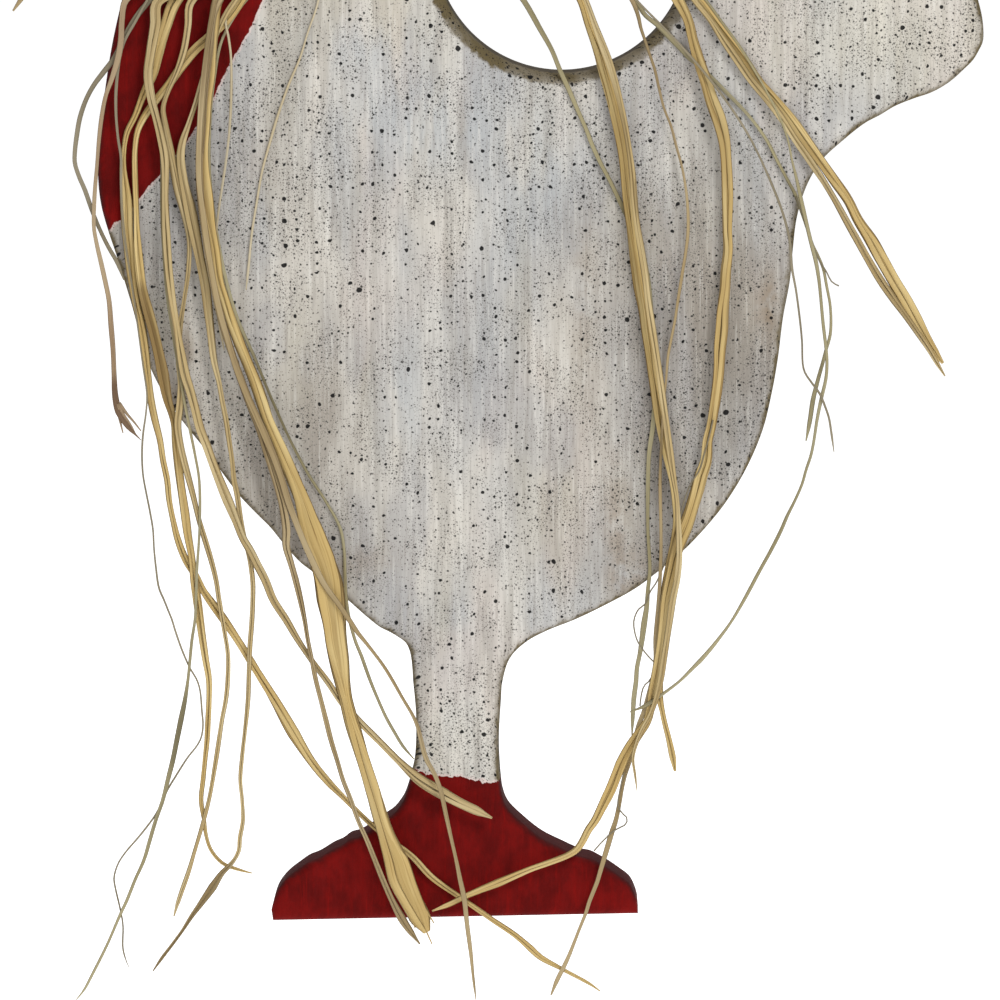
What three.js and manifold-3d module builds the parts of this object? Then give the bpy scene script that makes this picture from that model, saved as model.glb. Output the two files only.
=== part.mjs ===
// A folk-art chicken to hang on a wall: one flat board sawn to the outline of a chicken that
// faces left, with a raffia bow glued to the front of its neck and long raffia tails hanging
// from the bow. Comb, beak, wattle, leg and foot are all parts of the one board.
//
// Millimetres, +Z up. The back of the board is the plane y = 0 and its front faces -Y. The
// origin is on the back, where the board bears on the wall.

import * as THREE from "three";
import { mergeVertices } from "three/addons/utils/BufferGeometryUtils.js";
import Module from "manifold-3d";

const DEGREE = Math.PI / 180;

// Board: an 18 in tall shape sawn from 3/4 in pine, with all its edges sanded round.
const BOARD_HEIGHT = 457;
const BOARD_THICKNESS = 19;
const EDGE_ROUND = 2.8;
const NOTCH_RADIUS = 41.2;
const OUTLINE_STEP = 4.6;

// A blind hole in the back takes the nail or hook.
const HANG_HOLE_DIAMETER = 8;
const HANG_HOLE_FRONT_WALL = 9;
const HANG_HOLE_RISE = 16;

// Raffia: thin flat strips that hang in layers just off the board, from a knot that bears on it.
const STRIP_THICKNESS = 0.6;
const STRIP_GAP = 0.4;
const STRIP_BOARD_GAP = 1;
const STRIP_SIDE_GAP = 0.8;
const STRIP_STEP = 14;
const SAMPLE_STEP = 1.4;
const TOUCH_GAP = 0.3;
const KNOT_WIDTH = 18;
const KNOT_HEIGHT = 22;
const KNOT_DEPTH = 15;
const LOOP_WIDTH = 4;
const LOOP_POINTS = 20;

// The outline and the raffia's routes were read off a picture of 1000 x 1000 pixels, taken from
// a little above. Its frame cuts the head and the top of the tail off, so those have pixels
// above the frame, with negative y. Comb to foot is 1400 pixels.
const PICTURE_HEIGHT = 1400;
const PICTURE_CENTRE = 500;
const PIXEL = BOARD_HEIGHT / PICTURE_HEIGHT;
const VIEW_AZIMUTH = 1 * DEGREE;
const VIEW_ELEVATION = 8 * DEGREE;
const VIEW_DISTANCE = 2400;
const VIEW_CENTRE_X = 13.5;
const VIEW_CENTRE_Z = -114;

const NOTCH_CENTRE = [561.5, -57];
const KNOT_CENTRE = [292, -128];

// The right side, from the foot's corner up to the tail.
const FOOT_RIGHT = [
  [638, 913], [638, 905], [637, 894], [634, 884], [629, 875], [620, 868], [610, 861], [598, 854],
  [590, 850], [580, 848], [562, 840], [542, 830], [524, 816], [508, 800], [503, 788], [501, 775],
  [499, 739], [501, 700], [503, 676],
];
const BELLY_RIGHT = [
  [510, 658], [526, 642], [546, 631], [576, 619], [609, 603], [636, 588], [660, 570], [684, 550],
  [706, 527], [726, 502], [747, 467], [763, 429], [772, 392], [778, 358], [783, 318], [790, 280],
  [793, 248], [797, 217], [807, 185], [822, 160], [841, 142], [865, 123], [880, 115], [895, 106],
  [915, 98], [930, 93], [940, 88], [952, 80], [963, 70], [973, 60], [979, 50],
];
const TAIL_TOP = [
  [981, 38], [981, 20], [977, 0], [963, -42], [937, -92], [901, -140], [862, -180], [826, -206],
  [790, -212], [756, -198], [728, -170], [707, -132], [693, -96],
];

// The left side, from the back of the neck over the head and down to the foot's corner.
const NECK_BACK = [
  [435, -96], [434, -150], [431, -205], [422, -258], [410, -306],
];
const COMB_LOBES = [
  { centre: [370, -392], radius: 36, from: -35, to: 115 },
  { centre: [308, -430], radius: 42, from: 15, to: 150 },
  { centre: [238, -427], radius: 42, from: 35, to: 165 },
  { centre: [180, -388], radius: 36, from: 65, to: 210 },
];
const LOBE_POINTS = 5;
const BEAK = [
  [145, -335], [134, -308], [112, -291], [84, -279], [58, -270], [42, -258], [50, -243],
  [78, -228], [107, -210], [130, -186], [144, -156],
];
const BREAST = [
  [148, -120], [143, -80], [133, -40], [122, 0], [112, 45], [105, 90], [100, 130], [98, 175],
  [101, 204], [108, 230], [116, 254], [132, 306], [143, 347], [156, 380], [178, 415], [207, 452],
  [239, 495], [250, 507], [260, 517], [270, 527], [283, 543], [300, 562], [313, 572], [332, 587],
  [349, 601], [366, 616], [380, 627], [390, 632], [400, 638], [406, 643], [410, 652],
];
const LEG_LEFT = [
  [412, 665], [413, 680], [416, 715], [415, 755], [410, 780],
];
const FOOT_LEFT = [
  [405, 792], [400, 800], [395, 806], [388, 811], [375, 820], [360, 829], [352, 831], [344, 837],
  [335, 841], [320, 850], [310, 854], [300, 861], [292, 867], [285, 874], [279, 883], [275, 895],
  [273, 906], [273, 920],
];

// Raffia tails of the bow, each from the knot to its tip: width in millimetres, route in
// pixels of the picture.
const LEFT_TAILS = [
  {
    width: 3,
    route: [
      [268, -86], [243, -66], [218, -42], [195, -20], [175, 2], [166, 25], [158, 50], [152, 75],
      [143, 96], [135, 116], [127, 132], [124, 148], [123, 165], [126, 200], [127, 230],
      [129, 250], [131, 270], [134, 290], [137, 305], [141, 322], [144, 340], [146, 356],
      [148, 375], [151, 400], [155, 420], [160, 440], [163, 460], [167, 480], [169, 500],
      [173, 520], [178, 540], [186, 560], [196, 576], [203, 590], [212, 603], [226, 622],
      [242, 646], [258, 672], [275, 700], [293, 732], [312, 762], [330, 784], [340, 794],
      [352, 806], [372, 825], [392, 841], [412, 856], [432, 877], [463, 899], [490, 918],
      [515, 935], [530, 948], [540, 957], [562, 969], [590, 984], [600, 991],
    ],
  },
  {
    width: 2.6,
    route: [
      [284, -86], [270, -56], [256, -26], [241, 0], [226, 20], [209, 37], [195, 50], [181, 67],
      [169, 84], [157, 99], [146, 114], [138, 130], [135, 150], [135, 175], [136, 205],
      [137, 235], [139, 260], [143, 290], [148, 310], [153, 330], [158, 352], [163, 375],
      [168, 400], [172, 413], [175, 425], [176, 440], [178, 460], [181, 485], [185, 512],
      [188, 535], [192, 558], [194, 580], [197, 600], [200, 620], [203, 640], [206, 660],
      [209, 680], [209, 700], [208, 720], [207, 740], [205, 760], [203, 780], [201, 800],
      [204, 820], [206, 835], [210, 848], [216, 857], [224, 864], [234, 868], [244, 871],
      [252, 873],
    ],
  },
  {
    width: 2,
    route: [
      [280, -86], [256, -60], [230, -36], [208, -16], [190, 4], [188, 25], [184, 50], [177, 72],
      [168, 92], [163, 108], [165, 125], [169, 145], [174, 168], [179, 190], [185, 215],
      [189, 240], [188, 270], [184, 300], [180, 330], [179, 360], [181, 385], [180, 405],
      [178, 425], [181, 446], [186, 468], [193, 495], [199, 520], [205, 540], [211, 560],
      [216, 580], [219, 600], [224, 630], [228, 655], [228, 680], [226, 700], [222, 720],
      [216, 760], [209, 800], [201, 830], [195, 850], [189, 870], [182, 890], [177, 905],
      [174, 916],
    ],
  },
  {
    width: 1.3,
    route: [
      [276, -86], [246, -60], [214, -34], [184, -12], [160, 2], [156, 25], [152, 50], [148, 75],
      [149, 97], [154, 117], [160, 137], [162, 158], [162, 200], [164, 250], [168, 300],
      [174, 340], [180, 375], [185, 405], [190, 430], [195, 455], [199, 478], [200, 510],
      [199, 540], [197, 570], [196, 600], [195, 620], [192, 640], [190, 660], [188, 680],
      [185, 700], [181, 720], [177, 740], [173, 760], [168, 780], [163, 800], [156, 820],
      [150, 840], [144, 860], [135, 880], [127, 900], [120, 915], [107, 945], [92, 975],
      [84, 990], [76, 1000],
    ],
  },
  {
    width: 0.8,
    route: [
      [258, -100], [226, -80], [194, -54], [168, -28], [150, -4], [135, 22], [124, 42],
      [119, 62], [116, 90], [116, 115], [118, 138], [121, 158], [121, 185], [122, 210],
      [125, 240], [130, 272], [135, 305], [139, 335], [143, 365], [147, 395], [146, 413],
      [143, 435], [142, 455], [143, 475], [146, 492], [150, 512], [153, 530], [154, 548],
      [156, 568], [159, 588], [164, 600], [168, 610], [172, 620], [175, 630], [182, 650],
      [190, 668], [197, 680], [200, 690], [202, 712], [203, 725], [201, 738], [196, 747],
      [188, 757], [174, 779], [168, 789], [162, 802], [156, 814], [142, 833], [125, 853],
      [118, 864], [114, 878], [116, 891], [120, 908], [123, 925], [123, 948], [126, 960],
      [129, 967],
    ],
  },
  {
    width: 2.8,
    route: [
      [272, -86], [244, -60], [214, -34], [184, -12], [157, 2], [155, 25], [151, 50], [148, 75],
      [151, 97], [156, 116], [161, 136], [165, 158], [165, 200], [167, 250], [169, 275],
      [172, 300], [176, 325], [180, 350], [185, 375], [190, 390], [195, 408], [200, 428],
      [207, 446], [214, 465], [222, 485], [229, 502], [236, 520], [243, 538], [250, 550],
      [256, 562], [265, 580], [273, 600], [286, 620], [298, 640], [313, 662], [328, 682],
      [342, 703], [352, 713], [362, 724], [380, 742], [400, 762], [418, 778], [442, 793],
      [460, 803], [475, 810], [492, 818],
    ],
  },
  {
    width: 2,
    route: [
      [292, -86], [277, -58], [258, -30], [240, -6], [226, 14], [216, 36], [208, 60], [201, 84],
      [195, 105], [188, 125], [182, 142], [180, 158], [183, 180], [189, 205], [195, 232],
      [200, 258], [205, 285], [208, 310], [211, 335], [214, 360], [219, 382], [222, 400],
      [226, 420], [229, 440], [232, 460], [234, 480], [237, 495], [240, 515], [244, 535],
      [247, 548], [250, 560], [253, 582], [253, 600], [252, 620], [250, 645], [249, 670],
      [248, 700], [245, 730], [242, 755], [240, 780], [242, 800], [243, 820], [240, 838],
      [239, 850], [234, 860], [229, 866], [222, 873], [212, 888], [200, 905], [192, 916],
      [183, 930], [172, 945], [162, 958], [153, 971],
    ],
  },
  {
    width: 5.6,
    route: [
      [272, -84], [258, -58], [240, -28], [218, 0], [214, 25], [211, 50], [210, 75], [207, 100],
      [205, 125], [203, 150], [203, 175], [206, 200], [210, 225], [215, 250], [219, 280],
      [225, 300], [231, 320], [238, 340], [246, 360], [255, 382], [262, 402], [268, 420],
      [281, 450], [294, 480], [302, 500], [308, 520], [315, 542], [322, 560], [328, 580],
      [331, 600], [334, 620], [336, 640], [339, 660], [342, 680], [346, 700], [351, 720],
      [357, 740], [363, 760], [369, 780], [375, 800], [381, 820], [388, 840], [396, 860],
      [402, 880], [411, 900], [421, 920], [427, 932],
    ],
  },
  {
    width: 2,
    route: [
      [287, -86], [266, -58], [240, -28], [216, 8], [210, 50], [205, 92], [202, 130], [199, 170],
      [201, 205], [206, 240], [211, 270], [217, 303], [226, 335], [236, 365], [248, 400],
      [259, 430], [269, 460], [277, 485], [283, 508], [286, 530], [286, 546], [290, 560],
      [296, 580], [301, 600], [305, 620], [308, 640], [312, 660], [316, 680], [321, 700],
      [326, 720], [331, 740], [337, 760], [343, 780], [351, 800], [358, 820], [367, 840],
      [375, 860], [383, 880], [392, 900], [403, 920], [412, 933], [420, 944],
    ],
  },
  {
    width: 1.1,
    route: [
      [296, -86], [283, -56], [264, -22], [240, 8], [222, 40], [214, 80], [210, 120], [209, 160],
      [212, 200], [218, 240], [226, 280], [238, 320], [254, 356], [272, 400], [290, 440],
      [308, 474], [326, 502], [340, 528], [344, 550], [345, 575], [346, 598], [349, 618],
      [352, 630], [356, 643], [361, 655], [370, 680], [377, 697], [386, 717], [395, 733],
      [403, 746], [414, 759],
    ],
  },
  {
    width: 1.7,
    route: [
      [264, -86], [240, -60], [222, -30], [214, 6], [207, 50], [202, 96], [199, 140], [199, 182],
      [204, 222], [208, 250], [213, 280], [217, 300], [222, 320], [228, 340], [234, 360],
      [241, 380], [249, 400], [258, 420], [267, 440], [275, 460], [282, 480], [289, 503],
      [299, 530], [310, 556], [324, 584], [340, 606], [350, 621], [358, 633], [367, 644],
      [385, 668], [402, 697], [416, 722], [426, 758], [435, 775], [441, 792], [446, 815],
      [451, 838], [456, 860], [460, 880], [464, 899], [467, 925], [471, 955], [473, 975],
      [476, 1000],
    ],
  },
  {
    width: 1.5,
    route: [
      [258, -106], [226, -88], [196, -58], [170, -28], [150, 0], [140, 12], [130, 27], [122, 43],
      [113, 60], [103, 73], [94, 85], [86, 100], [80, 118], [77, 135], [75, 152], [75, 163],
      [79, 176], [85, 190], [93, 213], [101, 232], [109, 248], [117, 262], [124, 280],
    ],
  },
  {
    width: 1.8,
    route: [
      [260, -90], [228, -66], [192, -42], [156, -20], [126, 0], [122, 20], [121, 40], [118, 58],
      [112, 78], [106, 95], [102, 115], [99, 140], [97, 165], [95, 190], [94, 210], [94, 228],
      [97, 245], [101, 262], [105, 280], [109, 300], [111, 325], [113, 350], [114, 375],
      [115, 395], [118, 410], [122, 418], [128, 427], [135, 434], [141, 440],
    ],
  },
  {
    width: 0.9,
    route: [
      [298, -86], [284, -60], [262, -34], [240, -10], [226, 18], [229, 40], [231, 58], [231, 98],
      [229, 134], [225, 167], [220, 200], [216, 232], [214, 262], [215, 292], [219, 322],
      [224, 350],
    ],
  },
  {
    width: 0.8,
    route: [
      [312, -86], [318, -66], [322, -44], [322, -20], [317, 6], [308, 32], [300, 58], [289, 84],
      [279, 112], [270, 142], [262, 172], [257, 201], [252, 232], [249, 262], [246, 290],
    ],
  },
  {
    width: 1.9,
    route: [
      [258, -132], [240, -136], [218, -138], [196, -137], [174, -133], [152, -126], [130, -116],
      [110, -104], [91, -90], [74, -74], [58, -56], [45, -38], [33, -20], [22, -2], [13, 11],
    ],
  },
];

const RIGHT_TAILS = [
  {
    width: 1.7,
    route: [
      [326, -104], [352, -110], [380, -110], [408, -102], [436, -88], [462, -68], [486, -42],
      [507, -22], [525, 2], [541, 30], [552, 50], [560, 70], [569, 90], [578, 111], [586, 129],
      [593, 147], [601, 164], [610, 181], [619, 200], [625, 212], [630, 222], [636, 235],
      [641, 249], [645, 266], [648, 285], [650, 305], [652, 330], [654, 360], [655, 390],
      [653, 425], [649, 455], [648, 490], [648, 530], [650, 570], [648, 590], [647, 605],
      [644, 625], [642, 640], [640, 653], [637, 668], [636, 682], [634, 697], [633, 712],
      [632, 735],
    ],
  },
  {
    width: 3.6,
    route: [
      [326, -122], [356, -136], [390, -144], [424, -144], [458, -134], [490, -114], [520, -84],
      [546, -50], [566, -24], [581, 0], [589, 25], [599, 50], [604, 66], [610, 86], [615, 105],
      [619, 125], [623, 150], [626, 175], [629, 200], [632, 225], [635, 250], [638, 270],
      [641, 290], [645, 310], [648, 330], [651, 350], [653, 370], [656, 390], [659, 410],
      [663, 432], [668, 456], [673, 480], [675, 500], [676, 520], [674, 540], [670, 560],
      [666, 580], [664, 600], [662, 625], [660, 650], [659, 675], [659, 690], [660, 700],
      [662, 710], [664, 720], [669, 740], [673, 760], [675, 771],
    ],
  },
  {
    width: 1.4,
    route: [
      [326, -132], [360, -152], [398, -166], [438, -170], [478, -162], [518, -142], [556, -110],
      [590, -68], [616, -26], [633, 2], [638, 15], [641, 28], [645, 40], [649, 52], [655, 70],
      [659, 88], [664, 108], [671, 126], [676, 145], [682, 167], [686, 190], [688, 212],
      [688, 232], [686, 250], [682, 275], [678, 300], [675, 320], [671, 340], [668, 356],
      [666, 380], [664, 400], [662, 430], [661, 450], [660, 480], [661, 530], [661, 552],
      [660, 580], [658, 610], [656, 640], [656, 660], [653, 678], [648, 698], [644, 712],
      [639, 724], [634, 742], [630, 760], [625, 775], [622, 788], [620, 800], [616, 820],
      [612, 832], [609, 842], [606, 852], [603, 862], [600, 872], [597, 882], [593, 892],
      [589, 902], [586, 912], [582, 922], [578, 932], [569, 955], [563, 968], [557, 980],
      [551, 995],
    ],
  },
  {
    width: 3.6,
    route: [
      [326, -142], [362, -168], [402, -188], [446, -198], [490, -194], [534, -176], [576, -144],
      [614, -98], [644, -52], [664, -22], [678, 0], [688, 20], [693, 40], [699, 60], [706, 80],
      [712, 100], [719, 120], [724, 140], [726, 160], [727, 190], [727, 230], [728, 250],
      [726, 270], [725, 290], [723, 310], [722, 330], [720, 350], [719, 370], [717, 390],
      [714, 410], [711, 428], [708, 440], [706, 460], [701, 475], [697, 490], [691, 510],
      [686, 525], [680, 540], [675, 555], [671, 572], [668, 585], [665, 600], [663, 620],
      [661, 640], [659, 660], [656, 680], [653, 695], [651, 708], [647, 722], [640, 732],
      [633, 742], [627, 752], [621, 764], [616, 776], [611, 788], [605, 800], [600, 810],
      [595, 820], [588, 830], [583, 840], [577, 849], [568, 855], [550, 862], [530, 869],
      [500, 882], [480, 890], [464, 897], [450, 904], [432, 911],
    ],
  },
  {
    width: 3.6,
    route: [
      [326, -150], [362, -166], [402, -176], [446, -178], [490, -170], [534, -150], [578, -118],
      [620, -80], [660, -42], [700, 0], [715, 20], [730, 40], [745, 60], [758, 80], [776, 100],
      [792, 120], [806, 140], [820, 160], [834, 180], [848, 200], [858, 220], [871, 240],
      [882, 260], [893, 280], [905, 300], [916, 320], [927, 340], [933, 350], [943, 363],
    ],
  },
  {
    width: 2.3,
    route: [
      [326, -158], [366, -182], [412, -194], [460, -194], [508, -180], [554, -154], [598, -118],
      [638, -78], [668, -40], [694, 0], [710, 20], [723, 40], [737, 60], [751, 80], [768, 100],
      [783, 120], [796, 140], [810, 160], [823, 180], [835, 200], [846, 220], [857, 240],
      [868, 260], [880, 280], [894, 300], [905, 315], [917, 332], [928, 348], [937, 363],
      [945, 376],
    ],
  },
  {
    width: 1.3,
    route: [
      [326, -112], [358, -120], [394, -124], [432, -122], [470, -112], [508, -94], [544, -70],
      [580, -42], [612, -18], [636, 2], [645, 15], [657, 25], [666, 34], [674, 42], [683, 51],
      [690, 59], [699, 65], [706, 72], [716, 82], [728, 94], [740, 106], [750, 117], [760, 130],
      [768, 142], [776, 158], [786, 177], [796, 196], [802, 212], [808, 230], [812, 244],
      [818, 256], [823, 268], [827, 288], [830, 304], [831, 322], [830, 336], [826, 350],
      [823, 362], [819, 376], [813, 400], [810, 420], [806, 441],
    ],
  },
  {
    width: 1.2,
    route: [
      [326, -146], [364, -158], [408, -166], [454, -166], [500, -156], [546, -136], [590, -106],
      [632, -70], [672, -34], [704, -2], [722, 22], [738, 44], [752, 66], [768, 94], [780, 118],
      [788, 140], [792, 160], [796, 176], [800, 194], [804, 212], [809, 234], [813, 250],
      [816, 262], [819, 280], [821, 300], [823, 322], [826, 348], [827, 362], [826, 378],
      [821, 400], [817, 420], [814, 440], [811, 455], [806, 470], [802, 484], [795, 500],
      [787, 516], [781, 530], [771, 550], [760, 570], [744, 600], [731, 622], [717, 641],
      [708, 652], [700, 661], [693, 668], [680, 681], [663, 694], [645, 706], [630, 712],
    ],
  },
  {
    width: 0.8,
    route: [
      [326, -118], [366, -128], [410, -132], [454, -126], [498, -110], [542, -84], [584, -52],
      [620, -18], [644, 8], [668, 32], [692, 58], [712, 82], [734, 112], [750, 138], [762, 162],
      [772, 185], [781, 208], [787, 228], [790, 243], [792, 268], [796, 290], [800, 320],
      [802, 340], [804, 370], [812, 383], [820, 394], [825, 406], [829, 418], [831, 430],
      [834, 452],
    ],
  },
  {
    width: 2,
    route: [
      [326, -136], [358, -152], [394, -160], [430, -160], [466, -148], [500, -126], [532, -94],
      [558, -56], [574, -24], [586, 0], [595, 25], [603, 46], [609, 62], [615, 82], [620, 102],
      [625, 125], [629, 150], [632, 175], [634, 200], [637, 225], [641, 250], [645, 275],
      [648, 300], [652, 325], [656, 350], [659, 370], [662, 392], [665, 415], [668, 438],
      [671, 460], [674, 480], [677, 500], [678, 520], [679, 545], [679, 560], [677, 580],
      [673, 600], [670, 620], [667, 640], [664, 660], [661, 680], [656, 700], [650, 716],
      [643, 728], [637, 742], [633, 758], [635, 775], [637, 791],
    ],
  },
];

// Bow loops: side of the knot, rise above level in degrees, reach and half height in
// millimetres.
const LOOPS = [
  { side: -1, rise: -4, reach: 70, belly: 13 },
  { side: -1, rise: 15, reach: 64, belly: 12 },
  { side: -1, rise: 36, reach: 50, belly: 10 },
  { side: 1, rise: -2, reach: 68, belly: 13 },
  { side: 1, rise: 18, reach: 60, belly: 12 },
  { side: 1, rise: 38, reach: 48, belly: 10 },
];

// Where the sight line through a pixel meets the plane at this depth in front of the back.
function seenAt([column, row], depth) {
  const cosine = Math.cos(VIEW_ELEVATION);
  const sine = Math.sin(VIEW_ELEVATION);
  const side = Math.sin(VIEW_AZIMUTH);
  const ahead = Math.cos(VIEW_AZIMUTH);
  const forward = new THREE.Vector3(-side * cosine, ahead * cosine, -sine);
  const right = new THREE.Vector3(ahead, side, 0);
  const up = new THREE.Vector3(-side * sine, ahead * sine, cosine);
  const centre = new THREE.Vector3(VIEW_CENTRE_X, -BOARD_THICKNESS, VIEW_CENTRE_Z);
  const eye = centre.clone().addScaledVector(forward, -VIEW_DISTANCE);
  const ray = forward.clone().multiplyScalar(VIEW_DISTANCE);
  ray.addScaledVector(right, (column - PICTURE_CENTRE) * PIXEL);
  ray.addScaledVector(up, (PICTURE_CENTRE - row) * PIXEL);
  return eye.addScaledVector(ray, (-depth - eye.y) / ray.y);
}

function routeAt(pixels, depth) {
  return pixels.map((pixel) => seenAt(pixel, depth));
}

// Sides that face up or right show their back edge, and the others their front edge. So does
// the foot's bottom, whose two corners are the first point and the last.
function boardOutline() {
  const front = BOARD_THICKNESS - EDGE_ROUND;
  const back = EDGE_ROUND;
  const points = [
    ...routeAt(FOOT_RIGHT.slice(0, 1), front),
    ...routeAt(FOOT_RIGHT.slice(1), back),
    ...routeAt(BELLY_RIGHT, front),
    ...routeAt(TAIL_TOP, back),
    ...notchArc(back),
    ...routeAt(NECK_BACK, back),
    ...COMB_LOBES.flatMap((lobe) => routeAt(lobeArc(lobe), back)),
    ...routeAt(BEAK, front),
    ...routeAt(BREAST, front),
    ...routeAt(LEG_LEFT, front),
    ...routeAt(FOOT_LEFT.slice(0, -1), back),
    ...routeAt(FOOT_LEFT.slice(-1), front),
  ];
  const flat = points.map((point) => new THREE.Vector3(point.x, 0, point.z));
  const curve = new THREE.CatmullRomCurve3(flat, false, "centripetal");
  curve.arcLengthDivisions = 20 * flat.length;
  const steps = Math.round(curve.getLength() / OUTLINE_STEP);
  return curve.getSpacedPoints(steps).map((point) => new THREE.Vector2(point.x, point.z));
}

// The round bottom of the notch between neck and tail, from the tail's side to the neck's.
function notchArc(depth) {
  const centre = seenAt(NOTCH_CENTRE, depth);
  const steps = 12;
  return Array.from({ length: steps + 1 }, (_, step) => {
    const angle = -Math.PI * step / steps;
    const across = NOTCH_RADIUS * Math.cos(angle);
    const up = NOTCH_RADIUS * Math.sin(angle);
    return new THREE.Vector3(centre.x + across, centre.y, centre.z + up);
  });
}

function lobeArc({ centre, radius, from, to }) {
  return Array.from({ length: LOBE_POINTS }, (_, step) => {
    const angle = (from + (to - from) * step / (LOBE_POINTS - 1)) * DEGREE;
    return [centre[0] + radius * Math.cos(angle), centre[1] - radius * Math.sin(angle)];
  });
}

const wasm = await Module();
wasm.setup();

function solidOf(geometry) {
  const bare = geometry.clone();
  bare.deleteAttribute("normal");
  bare.deleteAttribute("uv");
  const merged = mergeVertices(bare, 1e-4);
  const vertProperties = new Float32Array(merged.attributes.position.array);
  const triVerts = new Uint32Array(merged.index.array);
  return new wasm.Manifold(new wasm.Mesh({ numProp: 3, vertProperties, triVerts }));
}

function geometryOf(solid) {
  const mesh = solid.getMesh();
  const geometry = new THREE.BufferGeometry();
  geometry.setAttribute("position", new THREE.BufferAttribute(mesh.vertProperties, 3));
  geometry.setIndex(new THREE.BufferAttribute(mesh.triVerts, 1));
  geometry.computeVertexNormals();
  return geometry;
}

// The board stands on its outline: drawn in x and y, sawn along z, then turned upright.
function boardGeometry() {
  const round = Math.min(EDGE_ROUND, BOARD_THICKNESS / 3);
  const geometry = new THREE.ExtrudeGeometry(new THREE.Shape(boardOutline()), {
    depth: BOARD_THICKNESS - 2 * round,
    bevelThickness: round,
    bevelSize: round,
    bevelOffset: -round,
    bevelSegments: 2,
  });
  geometry.translate(0, 0, round);
  geometry.rotateX(Math.PI / 2);
  return geometryOf(solidOf(geometry).subtract(solidOf(hangHoleGeometry())));
}

function hangHoleGeometry() {
  const depth = BOARD_THICKNESS - HANG_HOLE_FRONT_WALL;
  const proud = 2;
  const radius = HANG_HOLE_DIAMETER / 2;
  const geometry = new THREE.CylinderGeometry(radius, radius, depth + proud, 24);
  geometry.translate(0, (proud - depth) / 2, HANG_HOLE_RISE);
  return geometry;
}

// The wrap round the middle of the bow: half an egg, flat where it bears on the board.
function knotGeometry() {
  const egg = new THREE.SphereGeometry(1, 24, 16);
  egg.scale(KNOT_WIDTH / 2, KNOT_DEPTH, KNOT_HEIGHT / 2);
  const behind = new THREE.BoxGeometry(2 * KNOT_WIDTH, 2 * KNOT_DEPTH, 2 * KNOT_HEIGHT);
  behind.translate(0, KNOT_DEPTH, 0);
  return geometryOf(solidOf(egg).subtract(solidOf(behind)));
}

// A petal from the side of the knot and back to it, in the plane of the board.
function loopRoute({ side, rise, reach, belly }) {
  const knot = seenAt(KNOT_CENTRE, BOARD_THICKNESS);
  const rootX = knot.x + side * (KNOT_WIDTH / 2 + LOOP_WIDTH / 2);
  const rootSpread = KNOT_HEIGHT / 2 - LOOP_WIDTH;
  const turn = rise * DEGREE;
  return Array.from({ length: LOOP_POINTS + 1 }, (_, step) => {
    const share = step / LOOP_POINTS;
    const along = reach * Math.sin(Math.PI * share);
    const across = belly * Math.sin(2 * Math.PI * share);
    const x = rootX + side * (along * Math.cos(turn) - across * Math.sin(turn));
    const z = along * Math.sin(turn) + across * Math.cos(turn);
    return new THREE.Vector3(x, 0, knot.z + rootSpread * (1 - 2 * share) + z);
  });
}

function smooth(points) {
  return new THREE.CatmullRomCurve3(points, false, "centripetal");
}

// Two strips of one layer must pass each other at the side with this gap.
function stripsCross(one, other) {
  const reach = (one.width + other.width) / 2 + STRIP_SIDE_GAP;
  return one.samples.some((point) => {
    return other.samples.some((near) => Math.hypot(point.x - near.x, point.z - near.z) < reach);
  });
}

// Each strip lies in the first layer in front of the board where it crosses no other strip.
function layStrips(strips) {
  const laid = [];
  for (const strip of strips) {
    const curve = smooth(strip.points);
    const samples = curve.getSpacedPoints(Math.ceil(curve.getLength() / SAMPLE_STEP));
    const sampled = { ...strip, samples, layer: 0 };
    while (laid.some((other) => other.layer === sampled.layer && stripsCross(sampled, other))) {
      sampled.layer += 1;
    }
    laid.push(sampled);
  }
  return laid;
}

function stripGeometry({ points, width, layer }) {
  const depth = BOARD_THICKNESS + STRIP_BOARD_GAP + layer * (STRIP_THICKNESS + STRIP_GAP);
  const middle = -depth - STRIP_THICKNESS / 2;
  const curve = smooth(points.map((point) => new THREE.Vector3(point.x, middle, point.z)));
  const section = new THREE.Shape();
  section.moveTo(-STRIP_THICKNESS / 2, -width / 2);
  section.lineTo(STRIP_THICKNESS / 2, -width / 2);
  section.lineTo(STRIP_THICKNESS / 2, width / 2);
  section.lineTo(-STRIP_THICKNESS / 2, width / 2);
  const steps = Math.max(6, Math.round(curve.getLength() / STRIP_STEP));
  return new THREE.ExtrudeGeometry(section, { steps, bevelEnabled: false, extrudePath: curve });
}

function named(name, geometry, material) {
  const mesh = new THREE.Mesh(geometry, material);
  mesh.name = name;
  return mesh;
}

const paintedWood = new THREE.MeshStandardMaterial({ color: 0xd2cdc4, roughness: 0.75 });
const raffia = new THREE.MeshStandardMaterial({ color: 0xcbab6c, roughness: 0.7 });

const chicken = new THREE.Group();
chicken.add(named("chicken_board", boardGeometry(), paintedWood));

const knot = named("bow_knot", knotGeometry(), raffia);
knot.position.copy(seenAt(KNOT_CENTRE, BOARD_THICKNESS));
knot.position.y -= TOUCH_GAP;
chicken.add(knot);

function tailStrips(prefix, tails) {
  return tails.map(({ width, route }, index) => {
    return { name: `${prefix}_${index + 1}`, width, points: routeAt(route, BOARD_THICKNESS) };
  });
}

const strips = layStrips([
  ...tailStrips("left_tail", LEFT_TAILS),
  ...tailStrips("right_tail", RIGHT_TAILS),
  ...LOOPS.map((loop, index) => {
    return { name: `bow_loop_${index + 1}`, width: LOOP_WIDTH, points: loopRoute(loop) };
  }),
]);
for (const strip of strips) {
  chicken.add(named(strip.name, stripGeometry(strip), raffia.clone()));
}

export default chicken;
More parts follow.
